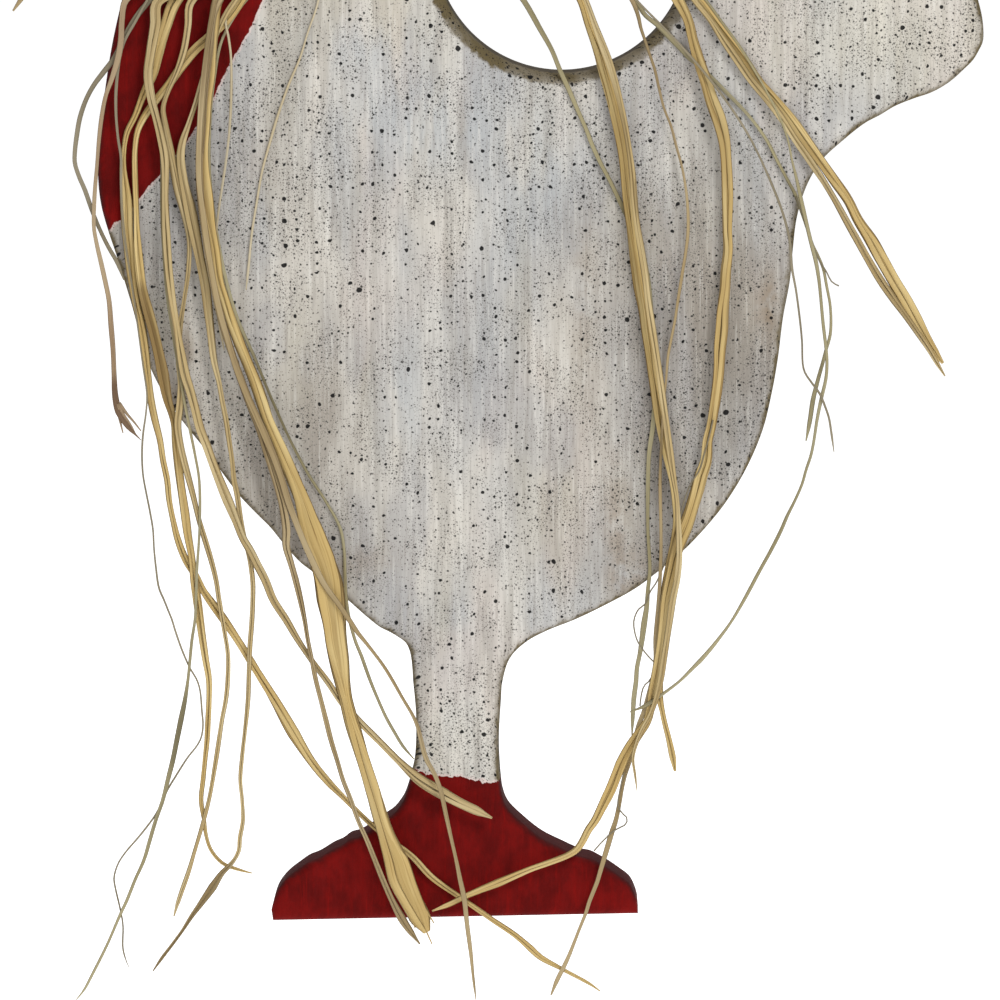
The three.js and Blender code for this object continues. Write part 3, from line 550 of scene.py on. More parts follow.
RIGHT_TAILS = [
    (1.7, "green", [
        (326, -104), (352, -110), (380, -110), (408, -102), (436, -88), (462, -68), (486, -42),
        (507, -22), (525, 2, 6.5), (541, 30, 6), (552, 50), (560, 70, 5), (569, 90),
        (578, 111, 4), (586, 129), (593, 147), (601, 164, 4.5), (610, 181), (619, 200, 5.5),
        (625, 212), (630, 222), (636, 235), (641, 249, 6), (645, 266), (648, 285), (650, 305),
        (652, 330, 6), (654, 360), (655, 390, 5), (653, 425), (649, 455), (648, 490, 4),
        (648, 530), (650, 570, 4), (648, 590), (647, 605), (644, 625, 6), (642, 640),
        (640, 653, 4.5), (637, 668), (636, 682), (634, 697, 5), (633, 712), (632, 735, 4),
    ]),
    (3.6, "gold", [
        (326, -122), (356, -136), (390, -144), (424, -144), (458, -134), (490, -114), (520, -84),
        (546, -50), (566, -24), (581, 0, 9), (589, 25, 10), (599, 50, 13), (604, 66), (610, 86),
        (615, 105, 13), (619, 125), (623, 150, 12), (626, 175), (629, 200, 12), (632, 225),
        (635, 250, 11), (638, 270), (641, 290, 13), (645, 310), (648, 330), (651, 350, 13),
        (653, 370), (656, 390, 12), (659, 410), (663, 432, 10), (668, 456), (673, 480, 7),
        (675, 500), (676, 520, 7), (674, 540), (670, 560, 8), (666, 580), (664, 600, 9),
        (662, 625), (660, 650, 9), (659, 675), (659, 690, 8), (660, 700), (662, 710, 6),
        (664, 720), (669, 740, 6), (673, 760), (675, 771, 6.5),
    ]),
    (1.4, "umber", [
        (326, -132), (360, -152), (398, -166), (438, -170), (478, -162), (518, -142),
        (556, -110), (590, -68), (616, -26), (633, 2, 5), (638, 15), (641, 28, 4), (645, 40),
        (649, 52, 3.5), (655, 70), (659, 88), (664, 108, 2.5), (671, 126), (676, 145),
        (682, 167, 2.5), (686, 190), (688, 212), (688, 232, 3.5), (686, 250), (682, 275),
        (678, 300, 3), (675, 320), (671, 340), (668, 356), (666, 380, 3), (664, 400), (662, 430),
        (661, 450, 3), (660, 480), (661, 530), (661, 552, 3.5), (660, 580), (658, 610),
        (656, 640, 5), (656, 660), (653, 678), (648, 698, 5), (644, 712), (639, 724),
        (634, 742, 5), (630, 760), (625, 775, 5), (622, 788), (620, 800), (616, 820, 5),
        (612, 832), (609, 842), (606, 852, 5.5), (603, 862), (600, 872), (597, 882, 5),
        (593, 892), (589, 902), (586, 912, 4.5), (582, 922), (578, 932, 4.5), (569, 955),
        (563, 968, 5), (557, 980), (551, 995, 5),
    ]),
    (3.6, "gold", [
        (326, -142), (362, -168), (402, -188), (446, -198), (490, -194), (534, -176),
        (576, -144), (614, -98), (644, -52), (664, -22), (678, 0, 11), (688, 20), (693, 40, 10),
        (699, 60), (706, 80, 11), (712, 100), (719, 120, 13), (724, 140), (726, 160, 12),
        (727, 190), (727, 230), (728, 250, 10), (726, 270), (725, 290), (723, 310, 12),
        (722, 330), (720, 350), (719, 370, 12), (717, 390), (714, 410, 10), (711, 428),
        (708, 440), (706, 460, 10), (701, 475), (697, 490, 12), (691, 510), (686, 525, 13),
        (680, 540), (675, 555, 11), (671, 572), (668, 585), (665, 600, 9), (663, 620),
        (661, 640), (659, 660, 9), (656, 680), (653, 695, 9), (651, 708), (647, 722, 9),
        (640, 732), (633, 742, 11), (627, 752), (621, 764, 14), (616, 776), (611, 788, 11),
        (605, 800), (600, 810, 8.5), (595, 820), (588, 830), (583, 840, 7.5), (577, 849),
        (568, 855, 6), (550, 862), (530, 869, 6.5), (500, 882, 8), (480, 890), (464, 897, 6),
        (450, 904, 5), (432, 911, 4),
    ]),
    (3.6, "gold", [
        (326, -150), (362, -166), (402, -176), (446, -178), (490, -170), (534, -150),
        (578, -118), (620, -80), (660, -42), (700, 0, 7), (715, 20), (730, 40, 8), (745, 60),
        (758, 80, 8), (776, 100), (792, 120, 10), (806, 140), (820, 160, 10), (834, 180),
        (848, 200, 10), (858, 220), (871, 240, 12.5), (882, 260), (893, 280, 12), (905, 300),
        (916, 320, 12), (927, 340), (933, 350, 9), (943, 363, 7),
    ]),
    (2.3, "straw", [
        (326, -158), (366, -182), (412, -194), (460, -194), (508, -180), (554, -154),
        (598, -118), (638, -78), (668, -40), (694, 0, 6), (710, 20), (723, 40, 7), (737, 60),
        (751, 80), (768, 100, 8), (783, 120), (796, 140, 8), (810, 160), (823, 180, 7.5),
        (835, 200), (846, 220, 7), (857, 240), (868, 260, 7), (880, 280), (894, 300, 8),
        (905, 315), (917, 332, 6), (928, 348, 5), (937, 363), (945, 376, 4),
    ]),
    (1.3, "green", [
        (326, -112), (358, -120), (394, -124), (432, -122), (470, -112), (508, -94), (544, -70),
        (580, -42), (612, -18), (636, 2, 5), (645, 15), (657, 25, 4.5), (666, 34), (674, 42),
        (683, 51, 5), (690, 59), (699, 65), (706, 72), (716, 82, 4), (728, 94), (740, 106),
        (750, 117, 4), (760, 130), (768, 142), (776, 158, 4), (786, 177), (796, 196, 4),
        (802, 212), (808, 230), (812, 244, 4), (818, 256), (823, 268, 3), (827, 288),
        (830, 304, 3), (831, 322), (830, 336), (826, 350, 3), (823, 362), (819, 376),
        (813, 400, 4.5), (810, 420), (806, 441, 4),
    ]),
    (1.2, "green", [
        (326, -146), (364, -158), (408, -166), (454, -166), (500, -156), (546, -136),
        (590, -106), (632, -70), (672, -34), (704, -2), (722, 22), (738, 44), (752, 66),
        (768, 94), (780, 118), (788, 140), (792, 160, 2.5), (796, 176), (800, 194),
        (804, 212, 4), (809, 234), (813, 250), (816, 262, 4), (819, 280), (821, 300),
        (823, 322, 3.5), (826, 348), (827, 362), (826, 378, 3.5), (821, 400), (817, 420, 3.5),
        (814, 440), (811, 455), (806, 470, 3.5), (802, 484), (795, 500), (787, 516, 4),
        (781, 530), (771, 550), (760, 570, 3.5), (744, 600), (731, 622, 3), (717, 641),
        (708, 652), (700, 661, 4.5), (693, 668), (680, 681, 3), (663, 694, 3), (645, 706, 4),
        (630, 712, 3),
    ]),
    (0.8, "hair", [
        (326, -118), (366, -128), (410, -132), (454, -126), (498, -110), (542, -84), (584, -52),
        (620, -18), (644, 8), (668, 32), (692, 58), (712, 82), (734, 112), (750, 138),
        (762, 162), (772, 185), (781, 208), (787, 228), (790, 243), (792, 268), (796, 290),
        (800, 320), (802, 340), (804, 370), (812, 383), (820, 394), (825, 406), (829, 418),
        (831, 430), (834, 452),
    ]),
    (2, "straw", [
        (326, -136), (358, -152), (394, -160), (430, -160), (466, -148), (500, -126), (532, -94),
        (558, -56), (574, -24), (586, 0, 5), (595, 25), (603, 46, 7), (609, 62), (615, 82),
        (620, 102, 6), (625, 125), (629, 150), (632, 175), (634, 200, 7), (637, 225), (641, 250),
        (645, 275, 8), (648, 300), (652, 325), (656, 350, 7), (659, 370), (662, 392),
        (665, 415, 6), (668, 438), (671, 460, 6), (674, 480), (677, 500, 5), (678, 520),
        (679, 545, 6), (679, 560), (677, 580, 7), (673, 600), (670, 620, 7), (667, 640),
        (664, 660), (661, 680, 6), (656, 700), (650, 716, 5), (643, 728), (637, 742, 4),
        (633, 758, 3), (635, 775), (637, 791, 2),
    ]),
]

# %% [markdown]
# ## What makes each strip its own
#
# Some strips are darker over a stretch, two have split at the end, and a few fine hairs have
# come loose. A particle system would scatter such hairs, but these have places of their own, so
# each is listed: by the node of the strip that it belongs to, and its pixels.

# %% Dark stretches, splinters and loose hairs
DARK_ROWS = {  # first and last row of the picture, how much darker
    "left_tail_2": (290, 415, 0.6), "left_tail_7": (868, 980, 0.65),
    "left_tail_13": (385, 450, 0.7), "left_tail_4": (700, 760, 0.4),
    "right_tail_6": (150, 330, 0.15), "right_tail_4": (20, 420, 0.2),
}
SPLINTERS = {  # where a strip's end has split: pixels from the strip to the splinter's point
    "left_tail_8": [
        [(398, 872), (404, 892), (410, 912), (415, 928)],
        [(404, 876), (414, 902), (424, 926), (432, 944)],
        [(409, 878), (418, 896), (427, 912), (434, 923)],
    ],
    "left_tail_13": [
        [(117, 404), (119, 416), (121, 425), (123, 433)],
        [(118, 404), (123, 414), (130, 424), (136, 435)],
        [(119, 403), (127, 414), (134, 422), (141, 431)],
    ],
}

HAIRS = [  # the strand that each leaves, pixels from there to the tip
    ("right_tail_2", [
        (667, 556), (662, 570), (656, 583), (650, 592), (646, 603), (638, 610), (634, 620),
        (634, 628), (637, 640), (641, 647), (648, 656), (655, 663),
    ]),
    ("right_tail_2", [
        (663, 603), (661, 625), (659, 645), (655, 665), (650, 680), (644, 686), (641, 697),
        (640, 706),
    ]),
    ("right_tail_7", [
        (796, 196), (802, 212), (808, 230), (813, 246), (819, 260), (826, 271), (832, 282),
        (839, 286),
    ]),
    ("right_tail_4", [
        (713, 420), (709, 437), (704, 455), (699, 471), (693, 480), (688, 490), (683, 505),
        (680, 518),
    ]),
    ("right_tail_3", [
        (624, 772), (620, 790), (618, 806), (622, 813), (627, 818), (626, 824), (619, 828),
        (612, 832), (606, 838), (600, 844), (594, 851),
    ]),
]

# %% Hang the tails
TURN_ROOM = 1.0 * MM
TIP_LENGTH, TIP_SHARE = 5 * MM, 0.35
ROWS_TO_DARKEN = 15
BROAD = 1.9 * MM
LAYER_LIFT = 0.25 * MM
# Tone: how far a layer is mixed towards the shadow colour. A broad strip's lowest, widest layer
# gets painted shade, as the narrower layers lie over it.
ONE_LAYER = [(0, 1, 0.05)]  # place across the strip, share of its width, tone
LAYERS_OF_BROAD = [(0, 1, 0.22), (-0.22, 0.5, 0.0), (0.24, 0.42, 0.1)]
CURL = 0.35
STEEPEST = 0.85
SPLINTER_WIDTH, SPLINTER_CURL, SPLINTER_TONE = 1.3 * MM, 0.3, 0.3
SPLINTER_NARROWS = 0.7
HAIR_WIDTH, HAIR_CURL, HAIR_TONE = 0.5 * MM, 0.4, 0.3
HAIR_LIFT = 0.9 * MM
SWAY = ((0.15 * MM, 0.13), (0.1 * MM, 0.047))  # waves: how much, over how many metres
SWELL = ((0.05, 0.17), (0.06, 0.061), (0.05, 0.023))
STRAY = ((0.08, 0.11), (0.05, 0.04))
TURNS = ((0.4, 0.21), (0.2, 0.083))
CURLS = ((0.15, 0.19), (0.1, 0.072))
TONES = ((0.08, 0.15), (0.06, 0.05))


def stated_widths(pixels, path, along, depth, usual):
    """The width all along the path, from the pixels whose third number states it."""
    marks = [pixel for pixel in pixels if len(pixel) == 3]
    if not marks:
        return np.full(len(path), usual)
    away = [np.linalg.norm(path - np.array(seen_at(mark, depth)), axis=1) for mark in marks]
    places = [along[distance.argmin()] for distance in away]
    return np.interp(along, places, [mark[2] * PIXEL for mark in marks])


def tail(node, width, look, pixels, number):
    """One strip of raffia from the knot to its tip."""
    chance = random.Random(number)
    low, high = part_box(node)
    depth = -(low.y + high.y) / 2
    path = smooth_path([seen_at(pixel, depth) for pixel in pixels], STRIP_STEP)
    along = lengths_along(path)
    length = along[-1]
    profile = stated_widths(pixels, path, along, depth, width)
    rows = np.interp(path[:, 2], *zip(*sorted((seen_at(p, depth).z, p[1]) for p in pixels)))
    first, last, dark = DARK_ROWS.get(node, (0, 0, 0))
    ends = (first - ROWS_TO_DARKEN, first, last, last + ROWS_TO_DARKEN)
    darker = dark * np.interp(rows, ends, (0, 1, 1, 0))
    path[:, 1] += wave(along, chance, *SWAY)
    profile *= 1 + wave(along, chance, *SWELL)
    profile *= np.interp(length - along, (0, TIP_LENGTH), (TIP_SHARE, 1))
    turn = math.asin(min(STEEPEST, TURN_ROOM / (width / 2)))
    side = unit(np.cross(np.gradient(path, axis=0), TO_VIEWER))
    ribbons = Ribbons()
    layers = LAYERS_OF_BROAD if width > BROAD else ONE_LAYER
    for layer, (off, share, layer_tone_and_shade) in enumerate(layers):
        off = off + (wave(along, chance, *STRAY) if layer else 0)
        laid = path + side * (profile * off)[:, None] + TO_VIEWER * layer * LAYER_LIFT
        twist = turn * wave(along, chance, *TURNS)
        curl = CURL + wave(along, chance, *CURLS)
        curl *= chance.choice((-1, 1))
        tone = layer_tone_and_shade + darker + wave(along, chance, *TONES)
        ribbons.add(laid, profile * share, curl, twist, start=chance.uniform(0, 2), tone=tone)
    for splinter in SPLINTERS.get(node, []):
        points = smooth_path([seen_at(pixel, depth) for pixel in splinter], STRIP_STEP)
        steps = np.linspace(0, 1, len(points))
        widths = SPLINTER_WIDTH * (1 - SPLINTER_NARROWS * steps)
        curl = np.full(len(points), SPLINTER_CURL)
        ribbons.add(points, widths, curl, 0 * steps, tone=SPLINTER_TONE)
    made = ribbons.piece(node.replace("tail", "strand"), RAFFIA[look])
    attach(made, "root")
    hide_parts(node)
    return length


def hair(name, node, pixels):
    """A fine fibre that has come loose from the strip of this node."""
    low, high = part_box(node)
    depth = -(low.y + high.y) / 2 + HAIR_LIFT
    path = smooth_path([seen_at(pixel, depth) for pixel in pixels], STRIP_STEP)
    length = lengths_along(path)[-1]
    widths, curl = np.full(len(path), HAIR_WIDTH), np.full(len(path), HAIR_CURL)
    ribbons = Ribbons()
    ribbons.add(path, widths, curl, np.zeros(len(path)), tone=HAIR_TONE)
    made = ribbons.piece(name, RAFFIA["hair"])
    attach(made, "root")
    return length


for number, (node, pixels) in enumerate(HAIRS, 1):
    length = hair(f"hair_{number}", node, pixels)
    print("hair", number, "length", round(length, 3))

for prefix, tails in (("left_tail", LEFT_TAILS), ("right_tail", RIGHT_TAILS)):
    for number, (width, look, pixels) in enumerate(tails, 1):
        length = tail(f"{prefix}_{number}", width * MM, look, pixels, number)
        print(prefix, number, "length", round(length, 3))

# %% [markdown]
# ## The bow
#
# The picture cuts the bow off, so it is made as such bows usually are: a hank of strips laid
# in three petals a side, and wrapped round the middle by a few more. A single thick ring
# would read as rope. Several strips of unequal reach in each petal read as a hank.

# %% The wrapped middle
knot_low, knot_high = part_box("bow_knot")
knot_centre = (knot_low + knot_high) / 2
knot_size = knot_high - knot_low
WRAPS = 7
WRAP_POINTS = 40
CORE_SHARE, CORE_DEPTH = 0.9, 1.76
WRAP_SPREAD, WRAP_ROUND, WRAP_REACH = 0.82, 0.85, 0.86
WRAP_LEAN, WRAP_TURN = 1.6 * MM, 0.5
WRAP_PROUD, WRAP_WIDTHS, WRAP_CURLS = (0.94, 1.0), (3.4 * MM, 5.0 * MM), (0.5, 0.9)
FAR_APART = 7.0

bpy.ops.mesh.primitive_uv_sphere_add(segments=32, ring_count=20, radius=0.5)
core = bpy.context.object
core.name = "knot_core"
core.scale = (knot_size.x * CORE_SHARE, knot_size.y * CORE_DEPTH, knot_size.z * CORE_SHARE)
core.location = (knot_centre.x, knot_high.y, knot_centre.z)
bpy.ops.object.transform_apply(location=True, rotation=True, scale=True)
bpy.ops.object.mode_set(mode="EDIT")
bpy.ops.mesh.select_all(action="SELECT")
bpy.ops.mesh.bisect(
    plane_co=tuple(knot_high), plane_no=(0, 1, 0), use_fill=True, clear_outer=True
)
bpy.ops.object.mode_set(mode="OBJECT")
bpy.ops.object.shade_smooth()
core.data.materials.append(RAFFIA["gold"])
core.data.uv_layers.active.name = "strip"
bpy.ops.object.select_all(action="DESELECT")

chance = random.Random(77)
wraps = Ribbons()
for number in range(WRAPS):
    side = (2 * number / (WRAPS - 1) - 1) * WRAP_SPREAD
    reach = math.sqrt(1 - (side * WRAP_ROUND) ** 2)
    angle = np.linspace(-math.pi / 2, math.pi / 2, WRAP_POINTS)
    lean = chance.uniform(-WRAP_LEAN, WRAP_LEAN)
    proud = chance.uniform(*WRAP_PROUD)
    x = knot_centre.x + side * knot_size.x / 2 * WRAP_REACH + lean * np.sin(angle)
    y = knot_high.y - knot_size.y * reach * proud * np.cos(angle)
    z = knot_centre.z + knot_size.z / 2 * (0.9 + 0.1 * reach) * proud * np.sin(angle)
    facing = np.stack([0 * angle, -np.cos(angle), np.sin(angle)], axis=1)
    path = np.stack([x, y, z], axis=1)
    width = np.full(WRAP_POINTS, chance.uniform(*WRAP_WIDTHS))
    curl = np.full(WRAP_POINTS, chance.uniform(*WRAP_CURLS))
    turn = np.full(WRAP_POINTS, side * WRAP_TURN)
    wraps.add(path, width, curl, turn, facing, start=number * FAR_APART)
knot_wraps = wraps.piece("knot_wraps", RAFFIA["straw"])
for piece in (core, knot_wraps):
    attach(piece, "root")
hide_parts("bow_knot")
print("knot wraps", len(knot_wraps.data.polygons), "faces")

# %% The petals
LOOPS = [  # side, rise in degrees, reach and belly in millimetres
    (-1, -4, 70, 13), (-1, 15, 64, 12), (-1, 36, 50, 10),
    (1, -2, 68, 13), (1, 18, 60, 12), (1, 38, 48, 10),
]
LOOP_HALF_WIDTH = 2 * MM
PETAL_STRIPS = 4
PETAL_POINTS = 29
SHORTER_EACH, UNEVEN = 0.055, 0.03
IN_KNOT = 1 * MM
FIRST_LIFT, LIFT_EACH = 0.4 * MM, 1.1 * MM
BELLIES, ROOTS, BULGES = (0.82, 1.12), (0.5, 1), (1 * MM, 3 * MM)
PETAL_WIDTHS, PETAL_SWELL = (2.4 * MM, 4.6 * MM), ((0.1, 0.09), (0.06, 0.031))
ON_EDGE, PETAL_TURNS = 0.6 * math.pi / 2, ((0.35, 0.12), (0.2, 0.05))
PETAL_CURL, PETAL_CURLS = 0.7, (0.3, 0.11)
APART_IN_PETAL = 11.0


def petal(number, side, rise, reach, belly):
    """One loop of the bow: strips from the side of the knot and back to it."""
    chance = random.Random(100 + number)
    node = f"bow_loop_{number}"
    low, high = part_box(node)
    share = np.linspace(0, 1, PETAL_POINTS)
    turn = math.radians(rise)
    spread = knot_size.z / 2 - 2 * LOOP_HALF_WIDTH
    strips = Ribbons()
    for strip in range(PETAL_STRIPS):
        grow = 1 - SHORTER_EACH * strip - chance.uniform(0, UNEVEN)
        along = reach * MM * grow * np.sin(math.pi * share)
        across = belly * MM * grow * chance.uniform(*BELLIES) * np.sin(math.tau * share)
        x = knot_centre.x + side * (knot_size.x / 2 - IN_KNOT)
        x = x + side * (along * math.cos(turn) - across * math.sin(turn))
        z = knot_centre.z + spread * (1 - 2 * share) * chance.uniform(*ROOTS)
        z = z + along * math.sin(turn) + across * math.cos(turn)
        y = (low.y + high.y) / 2 - FIRST_LIFT - LIFT_EACH * strip
        y = y - chance.uniform(*BULGES) * np.sin(math.pi * share) ** 2
        path = smooth_path(np.stack([x, y, z], axis=1), STRIP_STEP)
        far = lengths_along(path)
        width = np.full(len(path), chance.uniform(*PETAL_WIDTHS))
        width = width * (1 + wave(far, chance, *PETAL_SWELL))
        twist = ON_EDGE + wave(far, chance, *PETAL_TURNS)
        curl = PETAL_CURL + wave(far, chance, PETAL_CURLS)
        strips.add(path, width, curl, twist, start=strip * APART_IN_PETAL)
    made = strips.piece(f"bow_petal_{number}", RAFFIA[chance.choice(("gold", "straw"))])
    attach(made, "root")
    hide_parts(node)


for number, loop in enumerate(LOOPS, 1):
    petal(number, *loop)
print("petals", len(LOOPS))

# %% [markdown]
# ## The outline of the board
#
# The board was sawn by hand along one line. It could be traced with a knife or a curve. Here
# the points that the CAD part has, moved a little between the comb's lobes and at the beak's
# tip to leave room for the rounded rim, are run through a smooth curve and set 1.2 mm apart,
# so the edge shows no facets. A side that faces up or right shows its back edge to the camera,
# and the others their front edge, so each run of points has its own depth.

# %% Outline: pixels of the picture
NOTCH_CENTRE = (561.5, -57)
NOTCH_RADIUS = 41.2 * MM
COMB_LOBES = [
    ((370, -392), 36, -35, 115), ((308, -430), 42, 15, 145),
    ((238, -427), 42, 41, 165), ((180, -388), 36, 65, 210),
]
FOOT_RIGHT = [
    (638, 913), (638, 905), (637, 894), (634, 884), (629, 875), (620, 868), (610, 861),
    (598, 854), (590, 850), (580, 848), (562, 840), (542, 830), (524, 816), (508, 800),
    (503, 788), (501, 775), (499, 739), (501, 700), (503, 676),
]
BELLY_RIGHT = [
    (510, 658), (526, 642), (546, 631), (576, 619), (609, 603), (636, 588), (660, 570),
    (684, 550), (706, 527), (726, 502), (747, 467), (763, 429), (772, 392), (778, 358),
    (783, 318), (790, 280), (793, 248), (797, 217), (807, 185), (822, 160), (841, 142),
    (865, 123), (880, 115), (895, 106), (915, 98), (930, 93), (940, 88), (952, 80), (963, 70),
    (973, 60), (979, 50),
]
TAIL_TOP = [
    (981, 38), (981, 20), (977, 0), (963, -42), (937, -92), (901, -140), (862, -180),
    (826, -206), (790, -212), (756, -198), (728, -170), (707, -132), (693, -96),
]
NECK_BACK = [
    (435, -96), (434, -150), (431, -205), (422, -258), (410, -306),
]
BEAK = [
    (145, -335), (134, -308), (112, -291), (84, -280), (62, -274), (47, -267), (41, -256),
    (46, -245), (62, -235), (80, -226), (107, -210), (130, -186), (144, -156),
]
BREAST = [
    (148, -120), (143, -80), (133, -40), (122, 0), (112, 45), (105, 90), (100, 130), (98, 175),
    (101, 204), (108, 230), (116, 254), (132, 306), (143, 347), (156, 380), (178, 415),
    (207, 452), (239, 495), (250, 507), (260, 517), (270, 527), (283, 543), (300, 562),
    (313, 572), (332, 587), (349, 601), (366, 616), (380, 627), (390, 632), (400, 638),
    (406, 643), (410, 652),
]
LEG_LEFT = [
    (412, 665), (413, 680), (416, 715), (415, 755), (410, 780),
]
FOOT_LEFT = [
    (405, 792), (400, 800), (395, 806), (388, 811), (375, 820), (360, 829), (352, 831),
    (344, 837), (335, 841), (320, 850), (310, 854), (300, 861), (292, 867), (285, 874),
    (279, 883), (275, 895), (273, 906), (273, 920),
]

# %% Outline: places
OUTLINE_STEP = 1.2 * MM
CLEAR_OF_CORNER = 3
BACK_EDGE = EDGE_ROUND
FRONT_EDGE = BOARD_THICKNESS - EDGE_ROUND


def flat(point):
    return Vector((point.x, point.z))


def run(pixels, depth):
    return [flat(seen_at(pixel, depth)) for pixel in pixels]


def arc(centre, radius, start, end, count):
    angles = [math.radians(start + (end - start) * k / (count - 1)) for k in range(count)]
    return [centre + radius * Vector((math.cos(a), math.sin(a))) for a in angles]


comb = []
for pixel, rows, start, end in COMB_LOBES:
    comb += arc(flat(seen_at(pixel, BACK_EDGE)), rows * PIXEL, start, end, 9)
foot_right = run(FOOT_RIGHT[:1], FRONT_EDGE) + run(FOOT_RIGHT[1:], BACK_EDGE)
foot_left = run(FOOT_LEFT[:-1], BACK_EDGE) + run(FOOT_LEFT[-1:], FRONT_EDGE)
corners = [
    *foot_right, *run(BELLY_RIGHT, FRONT_EDGE), *run(TAIL_TOP, BACK_EDGE),
    *arc(flat(seen_at(NOTCH_CENTRE, BACK_EDGE)), NOTCH_RADIUS, 0, -180, 13),
    *run(NECK_BACK, BACK_EDGE), *comb, *run(BEAK, FRONT_EDGE), *run(BREAST, FRONT_EDGE),
    *run(LEG_LEFT, FRONT_EDGE), *foot_left,
]
sides = smooth_path([(point.x, 0, point.y) for point in corners], OUTLINE_STEP)[:, [0, 2]]
gap = np.linalg.norm(sides[0] - sides[-1])
bottom = np.linspace(sides[-1], sides[0], round(gap / OUTLINE_STEP) + 1)
# The foot's two corners are sharp, so no other point is as close to them as the bevel is wide.
outline = np.vstack([
    sides[:1], sides[CLEAR_OF_CORNER:-CLEAR_OF_CORNER], sides[-1:],
    bottom[CLEAR_OF_CORNER:-CLEAR_OF_CORNER],
])
print("outline", len(outline), "points")

# %% [markdown]
# ## The board itself
#
# A circle gives a face with as many corners as the outline has points. Each corner is moved
# to its place, the face is extruded to the board's thickness, and the rims are bevelled as
# the sandpaper left them. The front then gets a net of small faces, because the paint below
# follows the shape, and what guides it is kept in the mesh's points.

# %% Saw, round and drill
HOLE_RADIUS = 4 * MM
HOLE_DEPTH = 10 * MM
HOLE_RISE = 16 * MM

bpy.ops.mesh.primitive_circle_add(vertices=len(outline), radius=0.1, fill_type="NGON")
board = bpy.context.object
board.name = "painted_board"
places = np.stack(
    [outline[:, 0], np.full(len(outline), -BOARD_THICKNESS), outline[:, 1]], axis=1
)
board.data.vertices.foreach_set("co", places.ravel())
board.data.update()
bpy.ops.object.mode_set(mode="EDIT")
bpy.ops.mesh.select_mode(type="FACE")
bpy.ops.mesh.select_all(action="SELECT")
bpy.ops.mesh.extrude_region_move(TRANSFORM_OT_translate={"value": (0, BOARD_THICKNESS, 0)})
bpy.ops.mesh.select_all(action="SELECT")
bpy.ops.mesh.normals_make_consistent(inside=False)
bpy.ops.mesh.select_mode(type="EDGE")
bpy.ops.mesh.select_all(action="DESELECT")
edit = bmesh.from_edit_mesh(board.data)
for edge in edit.edges:
    one, two = edge.verts
    edge.select_set(abs(one.co.y - two.co.y) < 1e-6)
bmesh.update_edit_mesh(board.data)
bpy.ops.mesh.bevel(offset=EDGE_ROUND, segments=6, profile=0.5, clamp_overlap=False)
bpy.ops.object.mode_set(mode="OBJECT")

bpy.ops.object.select_all(action="DESELECT")
bpy.ops.mesh.primitive_cylinder_add(
    vertices=32, radius=HOLE_RADIUS, depth=2 * HOLE_DEPTH, location=(0, 0, HOLE_RISE),
    rotation=(math.pi / 2, 0, 0),
)
drill = bpy.context.object
bpy.ops.object.select_all(action="DESELECT")
board.select_set(True)
bpy.context.view_layer.objects.active = board
cut = board.modifiers.new("hole", "BOOLEAN")
cut.object = drill
cut.operation = "DIFFERENCE"
bpy.ops.object.modifier_apply(modifier="hole")
bpy.data.objects.remove(drill)
bpy.ops.object.select_all(action="DESELECT")
print("board", len(board.data.polygons), "faces before the net")

# %% A net of faces on the front
NET_STEP = 2.4 * MM
CHUNK = 1000


def depth_inside(points, polygon):
    """How far each point is inside the polygon. Outside it is negative."""
    start, end = polygon, np.roll(polygon, -1, axis=0)
    along = end - start
    size = np.maximum(np.sum(along**2, axis=1), 1e-18)
    found = []
    for first in range(0, len(points), CHUNK):
        some = points[first:first + CHUNK, None]
        share = np.clip(np.sum((some - start) * along, axis=2) / size, 0, 1)
        near = np.linalg.norm(some - start - share[..., None] * along, axis=2).min(axis=1)
        above = (start[:, 1] > some[..., 1]) != (end[:, 1] > some[..., 1])
        rise = np.where(np.abs(along[:, 1]) < 1e-15, 1e-15, along[:, 1])
        crossing = start[:, 0] + (some[..., 1] - start[:, 1]) / rise * along[:, 0]
        inside = np.sum(above & (some[..., 0] < crossing), axis=1) % 2
        found.append(np.where(inside == 1, near, -near))
    return np.concatenate(found)


net = bmesh.new()
net.from_mesh(board.data)
front = max((face for face in net.faces if face.normal.y < -0.9), key=lambda f: f.calc_area())
ring = list(front.verts)
ring_places = np.array([(vert.co.x, vert.co.z) for vert in ring])
low, high = ring_places.min(axis=0), ring_places.max(axis=0)
columns, rows = (np.arange(low[k], high[k], NET_STEP) for k in range(2))
grid = np.stack(np.meshgrid(columns, rows), axis=2)
grid[1::2, :, 0] += NET_STEP / 2
grid = grid.reshape(-1, 2)
grid = grid[depth_inside(grid, ring_places) > NET_STEP / 2]
corners_2d = [Vector(place) for place in np.vstack([ring_places, grid])]
verts, _, faces, sources, _, _ = delaunay_2d_cdt(
    corners_2d, [], [list(range(len(ring)))], 1, 1e-7
)
made = []
for vert, source in zip(verts, sources):
    known = [index for index in source if index < len(ring)]
    place = (vert.x, -BOARD_THICKNESS, vert.y)
    made.append(ring[known[0]] if known else net.verts.new(place))
bmesh.ops.delete(net, geom=[front], context="FACES_ONLY")
for face in faces:
    net.faces.new([made[index] for index in face])
net.to_mesh(board.data)
net.free()
print("board", len(board.data.polygons), "faces with the net")

# %% [markdown]
# ## What guides the paint
#
# The red comb, the wattle and the red foot are only colour, so nothing of them is raised.
# They could be drawn as separate faces, but a painted border is never that clean. Each point
# of the board is told instead how far it is inside the red, the beak and the board's edge,
# and the finish turns that into borders with a brush's wobble.

